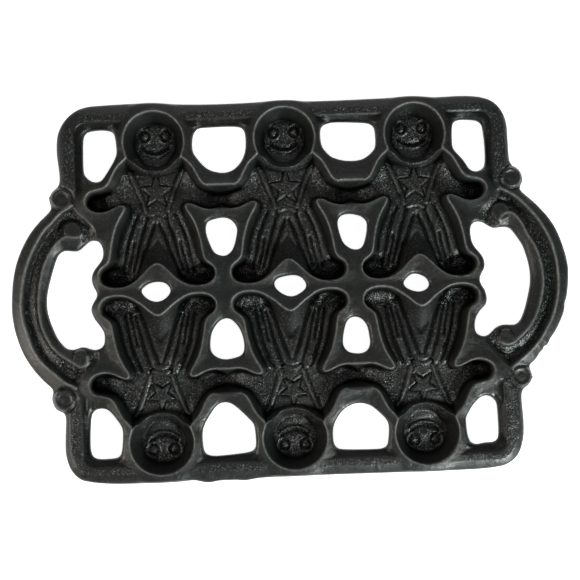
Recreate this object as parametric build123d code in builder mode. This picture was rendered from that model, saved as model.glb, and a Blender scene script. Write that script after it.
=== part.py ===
from build123d import *
import math
import os

# ---------------------------------------------------------------------------
# Cast-iron gem pan: six doll-shaped cups in two rows, feet to feet, joined by
# webs, framed by two rails and carried by two loop handles.  One casting.
# Millimetres, +Z up, cup bottoms at z = 0, centre of the footprint at x = y = 0.
# ---------------------------------------------------------------------------

# heights
RIM_Z = 18.5          # top of the raised land round every cup
WEB_TOP = 16.7        # top of the webs between the cups
WEB_BOTTOM = 12.2     # underside of the webs
FLOOR_Z = 4.5         # floor of the cups
RAIL_TOP = 17.5       # crown of the frame rails
RAIL_BOTTOM = 10.0    # underside of the rails
HANDLE_BOTTOM = 10.0  # underside of the handles
CHANNEL_Z = 13.8      # floor of the channel along a handle
LIP_TOP = 17.6        # top of both handle lips
BOSS_TOP = 18.0       # top of the round bosses where rail and handle meet

# plan layout
PITCH = 80.4          # distance between neighbouring figures
GRID_X = -1.4         # middle column
ROW_SPLIT = 0.55      # line between the two rows of feet
BACK_FOOT = 2.85      # cavity edge under the feet of the back row
FRONT_FOOT = -1.75    # cavity edge under the feet of the front row
RAIL_WIDTH = 15.2
RAIL_Y_BACK = 108.2
RAIL_Y_FRONT = -108.2
RAIL_X = {"back_left": -133.6, "back_right": 130.4, "front_left": -133.0, "front_right": 131.1}
CORNER_R = 11.0
LIP_WIDTH = 5.4
INNER_LIP_WIDTH = 4.6
WALL_SHARE = 0.55     # how far up the cavity wall the web underside sits
RELIEF = 1.5          # height of the raised lines on the cup floor
FRONT_LIFT = 2.2      # relief of the front row sits this much nearer to the heads
HEAD_V = 89.5
HEAD_R = 18.7

# one half of the figure, measured from its axis (u) and from the cavity edge
# under the feet (v): cavity edge, cavity floor, outside near the floor, land edge
HALF = [
    ((0.0, 108.2), (0.0, 102.2), (0.0, 106.3), (0.0, 112.6)),
    ((7.1, 106.8), (4.8, 101.2), (6.4, 105.1), (8.8, 110.9)),
    ((13.2, 102.8), (8.9, 98.5), (11.9, 101.5), (16.3, 106.0)),
    ((17.2, 96.7), (11.7, 94.4), (15.5, 96.0), (21.3, 98.4)),
    ((18.7, 89.5), (12.6, 89.5), (16.8, 89.5), (23.1, 89.5)),
    ((18.0, 84.1), (12.2, 85.6), (16.6, 85.6), (22.5, 84.4)),
    ((16.8, 79.8), (12.7, 79.6), (16.9, 81.2), (22.7, 80.6)),
    ((19.5, 77.2), (14.4, 74.2), (18.2, 77.2), (24.2, 78.4)),
    ((22.8, 73.8), (17.2, 70.5), (21.2, 73.3), (26.8, 75.7)),
    ((25.2, 69.6), (19.8, 66.4), (23.8, 68.8), (29.0, 71.8)),
    ((27.6, 64.8), (22.8, 62.2), (26.4, 65.0), (31.0, 68.2)),
    ((30.3, 61.8), (26.6, 58.9), (29.6, 62.4), (33.0, 66.0)),
    ((34.5, 60.4), (32.0, 57.3), (33.6, 61.2), (36.2, 64.8)),
    ((38.6, 59.6), (36.8, 56.6), (39.2, 60.0), (40.4, 64.0)),
    ((41.6, 57.4), (39.3, 55.4), (42.6, 57.6), (45.2, 60.4)),
    ((43.0, 53.5), (40.0, 53.1), (44.2, 53.2), (47.5, 54.0)),
    ((41.4, 49.6), (38.9, 50.8), (42.0, 48.6), (45.6, 47.0)),
    ((38.0, 47.3), (36.4, 49.4), (38.0, 45.8), (40.4, 43.2)),
    ((33.4, 46.4), (32.6, 48.8), (32.9, 44.8), (35.4, 42.0)),
    ((28.8, 47.2), (28.0, 49.8), (27.6, 45.6), (32.6, 41.4)),
    ((24.0, 49.4), (22.6, 52.2), (23.4, 46.4), (30.8, 40.6)),
    ((20.5, 50.6), (17.6, 53.0), (21.6, 46.0), (30.0, 39.4)),
    ((18.3, 49.3), (14.6, 50.8), (20.6, 45.0), (29.6, 38.4)),
    ((19.4, 46.3), (13.8, 45.6), (20.4, 43.6), (29.5, 37.2)),
    ((21.6, 42.6), (15.4, 40.6), (20.8, 41.2), (29.6, 35.8)),
    ((24.0, 37.8), (17.6, 35.6), (22.2, 36.8), (29.9, 34.0)),
    ((25.6, 33.0), (19.4, 31.0), (23.6, 32.0), (30.4, 31.4)),
    ((26.8, 28.0), (20.8, 26.4), (25.0, 27.4), (31.3, 27.8)),
    ((27.7, 23.0), (21.8, 21.8), (26.0, 22.6), (32.2, 22.8)),
    ((28.4, 18.5), (22.8, 17.6), (27.2, 18.8), (33.0, 19.6)),
    ((29.6, 15.5), (25.0, 14.2), (29.2, 16.4), (34.6, 17.2)),
    ((31.8, 13.6), (28.6, 12.0), (32.2, 14.6), (36.6, 15.4)),
    ((34.3, 11.6), (31.6, 10.2), (35.2, 12.2), (38.8, 12.6)),
    ((35.6, 8.7), (32.8, 7.9), (37.0, 8.2), (40.2, 8.4)),
    ((35.2, 5.2), (32.4, 5.8), (36.2, 4.0), (39.4, 3.2)),
    ((33.0, 2.3), (30.8, 4.0), (33.6, 0.8), (36.2, -1.2)),
    ((29.2, 0.5), (28.0, 2.9), (29.4, -1.1), (30.6, -3.6)),
    ((24.6, 0.0), (24.2, 2.5), (24.4, -1.7), (24.6, -4.4)),
    ((20.0, 0.5), (20.2, 3.0), (19.2, -1.1), (18.6, -3.8)),
    ((16.0, 2.0), (17.0, 4.8), (14.6, 1.2), (14.2, -2.2)),
    ((12.0, 4.6), (14.0, 7.8), (10.6, 5.2), (9.8, 0.4)),
    ((8.2, 8.0), (10.6, 12.6), (7.0, 10.0), (6.2, 3.6)),
    ((4.8, 11.4), (7.2, 18.6), (4.0, 15.2), (3.2, 6.4)),
    ((2.2, 13.4), (3.6, 25.0), (1.8, 18.6), (1.4, 7.6)),
    ((0.0, 14.2), (0.0, 30.0), (0.0, 19.8), (0.0, 8.0)),
]

# through windows of the casting, closed outlines
WINDOWS = {
    "handle_right": [(114.8, 35.8), (117.1, 36.2), (119.2, 35.9), (124.2, 32.8), (126.5, 31.9), (133.3, 32.4), (135.7, 31.8), (137.3, 30.7), (142.8, 22.7), (144.1, 20.2), (146.9, 10.1), (147.7, 3.4), (147.5, -2.1), (146.7, -6.6), (142.6, -20.5), (139.5, -26.2), (136.8, -27.9), (129.9, -27.8), (126.7, -28.5), (124.2, -30.0), (120.1, -33.6), (117.2, -34.5), (115.2, -34.1), (112.6, -32.7), (111.8, -31.4), (111.5, -29.1), (111.8, -25.5), (112.9, -22.3), (114.6, -19.6), (118.8, -15.0), (119.8, -11.8), (119.2, -7.6), (116.4, -1.8), (115.9, 0.1), (116.4, 2.4), (119.2, 8.0), (119.3, 11.2), (117.8, 15.3), (112.7, 22.5), (111.6, 28.0), (111.9, 33.2), (113.1, 34.9)],
    "handle_left": [(-122.7, 32.4), (-120.4, 32.7), (-117.4, 31.8), (-115.6, 29.4), (-114.8, 26.6), (-114.8, 23.2), (-115.4, 21.1), (-120.7, 13.8), (-122.1, 10.4), (-121.9, 6.6), (-119.4, 1.0), (-119.1, -0.7), (-119.8, -2.8), (-122.6, -7.4), (-123.0, -9.6), (-122.2, -13.0), (-115.7, -23.3), (-115.2, -25.6), (-115.5, -30.3), (-116.9, -32.5), (-119.9, -33.8), (-122.4, -33.8), (-128.3, -32.0), (-130.6, -32.2), (-134.2, -33.3), (-136.0, -33.2), (-138.6, -32.5), (-140.3, -31.1), (-143.9, -26.4), (-145.7, -22.6), (-148.0, -16.4), (-149.7, -9.7), (-150.0, -3.8), (-149.4, 2.2), (-145.4, 16.8), (-143.3, 22.7), (-142.1, 24.8), (-140.3, 26.3), (-138.3, 27.0), (-132.3, 26.5), (-129.8, 26.9)],
    "head_gap_front_left": [(-43.6, -69.1), (-40.6, -69.5), (-37.2, -71.6), (-29.8, -78.9), (-26.7, -82.6), (-25.9, -86.1), (-25.6, -95.0), (-26.1, -97.1), (-27.6, -98.5), (-31.3, -99.5), (-50.6, -101.0), (-54.1, -100.3), (-56.4, -98.2), (-57.0, -96.3), (-57.4, -87.5), (-56.5, -83.2), (-52.1, -75.6), (-48.8, -71.4), (-46.5, -69.7)],
    "head_gap_front_right": [(36.3, -72.8), (40.7, -72.9), (45.0, -74.3), (48.6, -77.1), (54.6, -83.5), (55.7, -86.8), (55.0, -96.0), (54.4, -98.4), (52.9, -99.8), (51.0, -100.6), (48.7, -100.8), (28.7, -100.1), (24.9, -99.3), (22.8, -97.4), (22.0, -94.6), (22.1, -87.5), (23.6, -83.1), (26.6, -78.5), (29.1, -76.0), (33.9, -73.4)],
    "head_gap_back_left": [(-49.6, 100.6), (-31.2, 100.6), (-28.3, 99.7), (-26.3, 97.7), (-25.6, 95.5), (-25.4, 89.5), (-26.1, 84.1), (-28.9, 78.1), (-31.3, 75.4), (-33.6, 73.6), (-36.6, 72.4), (-39.8, 72.0), (-42.5, 72.3), (-47.0, 73.6), (-49.8, 75.3), (-52.0, 77.3), (-56.8, 83.7), (-57.7, 85.7), (-58.0, 88.2), (-57.7, 93.7), (-57.0, 96.3), (-56.0, 98.1), (-53.6, 100.2)],
    "head_gap_back_right": [(28.5, 101.2), (47.4, 100.4), (50.2, 99.8), (52.9, 98.5), (54.1, 97.2), (54.6, 95.4), (54.8, 86.5), (53.7, 83.3), (47.6, 78.1), (42.4, 76.8), (35.1, 77.1), (29.8, 78.6), (27.6, 79.6), (23.9, 83.3), (22.2, 86.1), (21.4, 89.7), (21.4, 95.1), (21.8, 97.3), (23.0, 98.9), (25.7, 100.5)],
    "corner_back_left": [(-115.6, 101.0), (-110.7, 100.7), (-107.9, 99.5), (-106.5, 98.2), (-105.5, 95.0), (-105.0, 85.9), (-105.8, 83.2), (-113.1, 71.2), (-115.1, 69.3), (-117.7, 68.7), (-119.9, 69.2), (-121.8, 70.3), (-123.8, 72.5), (-125.0, 74.7), (-125.4, 78.7), (-124.9, 94.1), (-124.2, 97.3), (-122.3, 99.7), (-120.1, 100.6)],
    "corner_front_left": [(-121.0, -70.4), (-117.0, -70.0), (-113.9, -71.3), (-110.6, -75.0), (-106.2, -82.0), (-105.8, -85.0), (-106.9, -96.3), (-107.8, -98.2), (-109.7, -99.5), (-115.5, -100.2), (-120.7, -100.0), (-123.5, -98.7), (-125.2, -96.3), (-125.7, -93.1), (-125.1, -79.3), (-123.9, -73.3), (-122.6, -71.5)],
    "corner_back_right": [(107.3, 99.8), (110.1, 100.3), (117.8, 99.2), (120.2, 98.0), (121.6, 96.1), (122.9, 89.0), (122.7, 72.6), (121.3, 69.9), (118.2, 67.8), (115.4, 67.7), (112.9, 68.9), (109.1, 74.9), (104.2, 80.7), (103.1, 82.6), (102.8, 85.5), (103.6, 96.7), (104.7, 98.5)],
    "corner_front_right": [(115.3, -71.0), (117.5, -71.2), (119.7, -72.2), (121.6, -74.3), (122.7, -76.6), (123.3, -83.5), (122.9, -95.4), (121.8, -97.6), (119.6, -99.0), (114.4, -99.2), (110.4, -100.1), (108.6, -100.0), (105.7, -98.2), (104.3, -95.5), (103.4, -86.7), (103.5, -84.0), (105.7, -79.8), (108.9, -75.4), (112.5, -72.1)],
    "leg_gap_front_left": [(-41.0, -18.0), (-39.0, -18.3), (-37.1, -19.4), (-33.4, -23.9), (-31.2, -29.8), (-30.6, -35.1), (-31.1, -38.5), (-32.7, -40.5), (-37.2, -42.0), (-41.8, -42.6), (-45.6, -41.8), (-48.7, -39.9), (-50.4, -37.6), (-50.9, -34.3), (-50.1, -27.6), (-48.3, -23.6), (-44.6, -19.3)],
    "leg_gap_back_left": [(-44.0, 43.8), (-39.6, 44.0), (-36.6, 42.9), (-34.0, 40.3), (-32.6, 37.2), (-32.7, 34.5), (-35.4, 24.9), (-37.8, 22.0), (-40.5, 20.8), (-44.2, 21.5), (-46.9, 23.5), (-49.9, 30.5), (-51.2, 35.3), (-51.1, 39.3), (-50.2, 41.5), (-48.4, 42.6)],
    "leg_gap_back_right": [(34.6, 43.5), (37.8, 43.5), (43.5, 42.1), (45.5, 40.7), (47.2, 38.5), (47.3, 34.3), (46.0, 27.9), (44.3, 23.7), (42.3, 22.1), (39.8, 21.8), (37.6, 22.3), (34.1, 24.7), (32.5, 26.9), (30.1, 35.3), (29.9, 39.0), (30.4, 40.6), (31.8, 42.4)],
    "leg_gap_front_right": [(35.9, -20.2), (38.8, -20.0), (41.4, -21.0), (43.8, -23.4), (45.1, -25.8), (46.2, -32.0), (46.4, -36.5), (45.1, -39.7), (42.4, -41.6), (38.6, -42.0), (34.0, -41.1), (31.9, -39.6), (30.4, -36.9), (30.3, -32.9), (32.2, -24.5), (33.6, -21.8)],
    "diamond_middle": [(-3.8, 6.5), (1.7, 6.9), (5.4, 5.8), (7.2, 4.2), (8.3, 2.4), (8.6, 0.5), (8.1, -1.1), (5.4, -3.4), (0.8, -5.5), (-2.4, -5.3), (-5.9, -3.7), (-9.5, -0.5), (-10.3, 1.4), (-10.4, 3.2), (-8.9, 5.0)],
    "diamond_left": [(-83.8, 5.7), (-80.6, 5.7), (-77.9, 5.1), (-75.6, 3.3), (-74.5, 1.4), (-74.7, -0.8), (-76.2, -2.9), (-78.7, -4.8), (-81.5, -5.8), (-84.0, -5.8), (-87.6, -4.4), (-90.7, -1.7), (-91.8, 0.3), (-91.4, 2.0), (-88.9, 4.0), (-86.9, 5.0)],
    "diamond_right": [(73.8, 4.9), (77.0, 5.1), (82.4, 2.6), (84.2, -0.4), (84.2, -2.0), (83.5, -3.3), (80.9, -5.0), (78.0, -5.5), (73.9, -4.7), (70.3, -2.7), (69.0, -1.0), (69.1, 0.7), (71.4, 3.2)],
}

# handles: outer edge from the back boss to the front boss
LEFT_OUTER = [(-146.4, 52.8), (-154.1, 44.9), (-161.7, 34.7), (-165.7, 26.7), (-168.3, 19.4), (-170.1, 11.1), (-171.0, 2.9), (-171.4, -6.5), (-171.1, -12.6), (-169.5, -22.0), (-165.3, -34.4), (-158.9, -45.1), (-153.8, -51.2), (-147.9, -57.2)]
RIGHT_OUTER = [(144.6, 54.4), (154.0, 45.7), (162.9, 34.4), (167.7, 23.6), (170.3, 14.0), (171.3, 6.5), (171.4, 0.9), (170.5, -7.9), (168.0, -18.0), (166.3, -24.4), (161.2, -33.8), (157.0, -40.1), (151.8, -46.4), (144.6, -53.5)]
# handles: the end of each handle against the web, beside the outer figures
LEFT_INSIDE = [(-141.0, -62.0), (-134.0, -58.5), (-128.6, -53.5), (-122.5, -46.5), (-117.6, -39.5), (-119.0, -30.0), (-119.0, 28.0), (-117.5, 38.0), (-121.5, 44.0), (-128.6, 50.5), (-133.0, 55.5), (-141.0, 58.0)]
RIGHT_INSIDE = [(139.5, -58.5), (132.0, -55.0), (126.0, -49.5), (120.0, -42.5), (115.6, -37.0), (117.0, -30.0), (117.0, 31.0), (115.6, 41.0), (120.0, 47.0), (126.0, 53.5), (131.5, 58.5), (139.0, 61.0)]
# scroll bulbs that close the inner lip at both ends of each handle
BULBS = {"left": [(-133.2, 34.8, 7.2), (-130.4, -39.0, 6.2)], "right": [(127.5, 40.6, 7.2), (130.4, -36.0, 7.0)]}
# inner lip of each handle (edge at the window, from back to front)
LEFT_LIP = [(-139.6, 27.4), (-143.3, 22.7), (-145.4, 16.8), (-149.4, 2.2), (-150.0, -3.8), (-149.7, -9.7), (-148.0, -16.4), (-145.7, -22.6), (-143.9, -26.4), (-138.6, -32.9)]
RIGHT_LIP = [(136.4, 32.4), (142.8, 22.7), (144.1, 20.2), (146.9, 10.1), (147.7, 3.4), (147.5, -2.1), (146.7, -6.6), (142.6, -20.5), (139.5, -26.2), (135.4, -28.6)]

# round bosses at the four junctions: centre and radius
BOSSES = {
    "back_left_boss": (-138.7, 58.7, 8.4),
    "front_left_boss": (-139.6, -63.6, 8.6),
    "back_right_boss": (137.6, 62.6, 8.4),
    "front_right_boss": (137.9, -60.0, 8.0),
}


def outline(level, row):
    """Closed outline of one figure at its own axis, in the plan of its row."""
    pts = []
    right = [p[level] for p in HALF]
    left = [(-u, v) for u, v in reversed(right[1:-1])]
    for u, v in right + left:
        if row == "front":
            # heads of the front row sit a little higher and are a little wider
            lift = 1.0 if v > 79.0 else max(0.0, (v - 58.0) / 21.0)
            wide = 1.05 if v > 79.0 else 1.0
            u, v = u * wide, v + 0.9 * lift
            pts.append((u, FRONT_FOOT - v))
        else:
            pts.append((u, BACK_FOOT + v))
    return pts


def offset_line(pts, distance):
    """Open line moved sideways (positive = to the left of its direction)."""
    out = []
    for i, (x, y) in enumerate(pts):
        x0, y0 = pts[max(i - 1, 0)]
        x1, y1 = pts[min(i + 1, len(pts) - 1)]
        dx, dy = x1 - x0, y1 - y0
        n = math.hypot(dx, dy)
        out.append((x - dy / n * distance, y + dx / n * distance))
    return out


def band(u_pts, r_in, r_out, a0, a1, cu, cv):
    """Arc band on the cup floor: outline points between two radii."""
    pts = []
    n = 12
    for k in range(n + 1):
        a = math.radians(a0 + (a1 - a0) * k / n)
        pts.append((cu + r_out * math.cos(a), cv + r_out * math.sin(a)))
    for k in range(n, -1, -1):
        a = math.radians(a0 + (a1 - a0) * k / n)
        pts.append((cu + r_in * math.cos(a), cv + r_in * math.sin(a)))
    return pts


def stripe(line, width):
    """Raised line of constant width along a few points."""
    left = offset_line(line, width / 2)
    right = offset_line(line, -width / 2)
    return left + right[::-1]


def to_row(pts, row):
    if row == "front":
        return [(u, FRONT_FOOT - (v + FRONT_LIFT)) for u, v in pts]
    return [(u, BACK_FOOT + v) for u, v in pts]


# raised figures on the cup floor: list of closed outlines in (u, v)
LINES = []
for s in (-1, 1):
    # three long stripes on each leg, from the waist to the foot
    LINES.append(stripe([(s * 12.0, 41.5), (s * 15.6, 34.0), (s * 18.3, 26.0), (s * 19.9, 14.0)], 2.4))
    LINES.append(stripe([(s * 8.2, 41.0), (s * 11.6, 33.0), (s * 14.4, 25.0), (s * 16.9, 10.5)], 2.4))
    LINES.append(stripe([(s * 3.8, 40.0), (s * 7.4, 32.5), (s * 10.6, 24.0), (s * 13.2, 12.5)], 2.4))
    # double braces from the shoulders to the waist
    LINES.append(stripe([(s * 14.0, 70.5), (s * 11.6, 63.0), (s * 9.6, 55.0), (s * 9.4, 47.0)], 1.3))
    LINES.append(stripe([(s * 11.6, 70.0), (s * 9.6, 62.0), (s * 7.4, 54.0), (s * 6.4, 48.0)], 1.3))
BELT = [band(None, 5.6, 7.0, 20, 160, 0.0, 43.0)]
SMILE = [band(None, 8.0, 10.0, 222, 318, 0.0, HEAD_V + 3.0)]


# five-pointed star on the chest, its upper point reaching to the chin
STAR = [(0.0, 69.8), (2.1, 62.6), (9.2, 61.9), (3.6, 57.3), (5.9, 51.2), (0.0, 54.8), (-5.9, 51.2), (-3.6, 57.3), (-9.2, 61.9), (-2.1, 62.6)]

# ---------------------------------------------------------------------------
# cup bodies and cavities, one of each per row, at the column axis x = 0
# ---------------------------------------------------------------------------
bowls = {}
cavities = {}
reliefs = {}
for row in ("back", "front"):
    rim = outline(0, row)
    floor = outline(1, row)
    skirt = outline(2, row)
    wall = [(a + (c - a) * WALL_SHARE + (e - c) * 0.85, b + (d - b) * WALL_SHARE + (f - d) * 0.85)
            for (a, b), (c, d), (e, f) in zip(floor, rim, outline(3, row))]
    with BuildPart() as bowl:
        for pts, z in ((floor, 0.0), (skirt, FLOOR_Z), (wall, WEB_BOTTOM)):
            with BuildSketch(Plane.XY.offset(z)):
                with BuildLine():
                    Polyline(*pts, close=True)
                make_face()
        loft(ruled=True)
    bowls[row] = bowl.part
    with BuildPart() as cavity:
        for pts, z in ((floor, FLOOR_Z), (rim, RIM_Z)):
            with BuildSketch(Plane.XY.offset(z)):
                with BuildLine():
                    Polyline(*pts, close=True)
                make_face()
        loft(ruled=True)
    cavities[row] = cavity.part
    # relief: stripes, braces, belt, star, smile and eyes
    with BuildPart() as relief:
        with BuildSketch(Plane.XY.offset(FLOOR_Z - 0.5)):
            for pts in LINES + BELT + SMILE:
                with BuildLine():
                    Polyline(*to_row(pts, row), close=True)
                make_face()
            with BuildLine():
                Polyline(*to_row(STAR, row), close=True)
            make_face()
            for s in (-1, 1):
                eye = to_row([(s * 6.7, HEAD_V + 4.0)], row)[0]
                with Locations(eye):
                    Circle(3.2)
                    Circle(1.9, mode=Mode.SUBTRACT)
                    Circle(0.9)
        extrude(amount=0.5 + RELIEF)
    reliefs[row] = relief.part
    # chin ridge between the head bowl and the chest
    with BuildPart() as ridge:
        with BuildSketch(Plane.XY.offset(FLOOR_Z - 0.5)):
            with BuildLine():
                Polyline(*to_row(band(None, 17.3, 19.0, 222, 318, 0.0, HEAD_V), row), close=True)
            make_face()
        extrude(amount=9.0)
    reliefs[row + "_ridge"] = ridge.part

# trough that joins the hands of neighbouring figures
troughs = {}
for row in ("back", "front"):
    with BuildPart() as trough:
        for z, lo, hi in ((FLOOR_Z + 1.0, 49.6, 56.6), (RIM_Z, 46.4, 60.2)):
            with BuildSketch(Plane.XY.offset(z)):
                with BuildLine():
                    edge = [(FRONT_FOOT - lo, FRONT_FOOT - hi), (BACK_FOOT + lo, BACK_FOOT + hi)][row == "back"]
                    Polyline((-8.5, edge[0]), (8.5, edge[0]), (8.5, edge[1]), (-8.5, edge[1]), close=True)
                make_face()
        loft(ruled=True)
    troughs[row] = trough.part


with BuildPart() as cutter:
    with BuildSketch(Plane.XY.offset(-1.0)):
        for key in ("handle_left", "handle_right"):
            with BuildLine():
                Polyline(*WINDOWS[key], close=True)
            make_face()
    extrude(amount=RIM_Z + 3.0)
window_cut = cutter.part

# ---------------------------------------------------------------------------
# frame rails: beveled bar swept along a C
# ---------------------------------------------------------------------------
half = RAIL_WIDTH / 2
PROFILE = [(-half, RAIL_BOTTOM + 1.2), (-half + 1.2, RAIL_BOTTOM), (half - 1.2, RAIL_BOTTOM), (half, RAIL_BOTTOM + 1.2),
           (half, RAIL_TOP - 4.0), (half - 1.2, RAIL_TOP - 2.2), (half - 4.2, RAIL_TOP - 0.2), (half - 5.6, RAIL_TOP),
           (-half + 5.6, RAIL_TOP), (-half + 4.2, RAIL_TOP - 0.2), (-half + 1.2, RAIL_TOP - 2.2), (-half, RAIL_TOP - 4.0)]
rails = {}
for side, y_rail, s in (("back", RAIL_Y_BACK, 1), ("front", RAIL_Y_FRONT, -1)):
    x_left, x_right = RAIL_X[side + "_left"], RAIL_X[side + "_right"]
    y_end_left = s * (58.7 if side == "back" else 63.6)
    y_end_right = s * (62.6 if side == "back" else 60.0)
    with BuildPart() as rail:
        with BuildLine() as path:
            l1 = Line((x_left, y_end_left), (x_left, y_rail - s * CORNER_R))
            l2 = RadiusArc(l1 @ 1, (x_left + CORNER_R, y_rail), s * CORNER_R)
            l3 = Line(l2 @ 1, (x_right - CORNER_R, y_rail))
            l4 = RadiusArc(l3 @ 1, (x_right, y_rail - s * CORNER_R), s * CORNER_R)
            l5 = Line(l4 @ 1, (x_right, y_end_right))
        start = Plane(origin=(x_left, y_end_left, 0), x_dir=(1, 0, 0), z_dir=(0, s, 0))
        with BuildSketch(start):
            with BuildLine():
                Polyline(*[(px, pz * (-s)) for px, pz in PROFILE], close=True)
            make_face()
        sweep(path=path.wire())
    rails[side] = rail.part

# ---------------------------------------------------------------------------
# bosses
# ---------------------------------------------------------------------------
bosses = {}
for name, (bx, by, br) in BOSSES.items():
    with BuildPart() as boss:
        with BuildSketch(Plane.XY.offset(HANDLE_BOTTOM)):
            with Locations((bx, by)):
                Circle(br)
        extrude(amount=BOSS_TOP - HANDLE_BOTTOM)
        fillet(boss.edges().group_by(Axis.Z)[-1], 2.6)
        fillet(boss.edges().group_by(Axis.Z)[0], 1.2)
        # shallow ring groove round the middle button
        with BuildSketch(Plane.XY.offset(BOSS_TOP)):
            with Locations((bx, by)):
                Circle(br - 3.4)
                Circle(br - 4.9, mode=Mode.SUBTRACT)
        extrude(amount=-0.8, mode=Mode.SUBTRACT)
    bosses[name] = boss.part

# ---------------------------------------------------------------------------
# handles: slab with a channel between two lips, scroll bulbs at the ends
# ---------------------------------------------------------------------------
handles = {}
for side, outer, inside, lip, turn in (("left", LEFT_OUTER, LEFT_INSIDE, LEFT_LIP, 1), ("right", RIGHT_OUTER, RIGHT_INSIDE, RIGHT_LIP, -1)):
    with BuildPart() as handle:
        with BuildSketch(Plane.XY.offset(HANDLE_BOTTOM)):
            with BuildLine():
                Spline(*outer)
                Polyline(outer[-1], *inside, outer[0])
            make_face()
        extrude(amount=CHANNEL_Z - HANDLE_BOTTOM)
        # outer lip, narrower at its crown
        for z_low, z_high in ((CHANNEL_Z - 0.5, LIP_TOP),):
            for z, grow_out, width in ((z_low, 0.0, LIP_WIDTH), (z_high, 1.6, LIP_WIDTH - 1.0)):
                a = offset_line(outer, turn * grow_out)
                b = offset_line(outer, turn * width)
                with BuildSketch(Plane.XY.offset(z)):
                    with BuildLine():
                        Spline(*a)
                        Line(a[-1], b[-1])
                        Spline(*b[::-1])
                        Line(b[0], a[0])
                    make_face()
            loft(ruled=True)
        # inner lip along the window
        for z, grow_in, width in ((CHANNEL_Z - 0.5, -0.4, INNER_LIP_WIDTH), (LIP_TOP - 0.4, 0.9, INNER_LIP_WIDTH - 0.8)):
            a = offset_line(lip, -turn * grow_in)
            b = offset_line(lip, -turn * width)
            with BuildSketch(Plane.XY.offset(z)):
                with BuildLine():
                    Spline(*a)
                    Line(a[-1], b[-1])
                    Spline(*b[::-1])
                    Line(b[0], a[0])
                make_face()
        loft(ruled=True)
        for bx, by, br in BULBS[side]:
            with BuildSketch(Plane.XY.offset(CHANNEL_Z - 0.5)):
                with Locations((bx, by)):
                    Circle(br)
            with BuildSketch(Plane.XY.offset(LIP_TOP - 0.3)):
                with Locations((bx, by)):
                    Circle(br - 1.4)
            loft(ruled=True)
        add(window_cut, mode=Mode.SUBTRACT)
        for b in bosses.values():
            add(b, mode=Mode.SUBTRACT)
    handles[side] = handle.part


# ---------------------------------------------------------------------------
# figure cups: bowl, raised land and the web of its own cell
# ---------------------------------------------------------------------------
split_left = GRID_X - PITCH / 2
split_right = GRID_X + PITCH / 2
INNER_R = CORNER_R - half
YB = RAIL_Y_BACK - half
YF = RAIL_Y_FRONT + half
XBL = RAIL_X["back_left"] + half
XBR = RAIL_X["back_right"] - half
XFL = RAIL_X["front_left"] + half
XFR = RAIL_X["front_right"] - half
K = INNER_R * (1 - math.sqrt(0.5))
CELLS = {
    # name: (column axis, row, x from, x to, web outline)
    "back_left_figure_cup": (GRID_X - PITCH, "back", -150.0, split_left,
                             [(split_left, YB), (XBL + INNER_R, YB), (XBL + K, YB - K), (XBL, YB - INNER_R), (XBL, 58.7), (-136.0, 58.7),
                              (-133.0, 55.5), (-128.6, 50.5), (-121.5, 44.0), (-117.5, 38.0), (-119.0, 28.0), (-119.0, ROW_SPLIT), (split_left, ROW_SPLIT)]),
    "back_middle_figure_cup": (GRID_X, "back", split_left, split_right,
                               [(split_left, YB), (split_right, YB), (split_right, ROW_SPLIT), (split_left, ROW_SPLIT)]),
    "back_right_figure_cup": (GRID_X + PITCH, "back", split_right, 150.0,
                              [(split_right, YB), (XBR - INNER_R, YB), (XBR - K, YB - K), (XBR, YB - INNER_R), (XBR, 62.6), (135.0, 62.6), (131.5, 58.5),
                               (126.0, 53.5), (120.0, 47.0), (115.6, 41.0), (117.0, 31.0), (117.0, ROW_SPLIT), (split_right, ROW_SPLIT)]),
    "front_left_figure_cup": (GRID_X - PITCH - 0.2, "front", -150.0, split_left,
                              [(split_left, YF), (XFL + INNER_R, YF), (XFL + K, YF + K), (XFL, YF + INNER_R), (XFL, -63.6), (-137.0, -63.6), (-134.0, -58.5),
                               (-128.6, -53.5), (-122.5, -46.5), (-117.6, -39.5), (-119.0, -30.0), (-119.0, ROW_SPLIT), (split_left, ROW_SPLIT)]),
    "front_middle_figure_cup": (GRID_X, "front", split_left, split_right,
                                [(split_left, YF), (split_right, YF), (split_right, ROW_SPLIT), (split_left, ROW_SPLIT)]),
    "front_right_figure_cup": (GRID_X + PITCH, "front", split_right, 150.0,
                               [(split_right, YF), (XFR - INNER_R, YF), (XFR - K, YF + K), (XFR, YF + INNER_R), (XFR, -60.0), (135.0, -60.0), (132.0, -55.0),
                                (126.0, -49.5), (120.0, -42.5), (115.6, -37.0), (117.0, -30.0), (117.0, ROW_SPLIT), (split_right, ROW_SPLIT)]),
}

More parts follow.
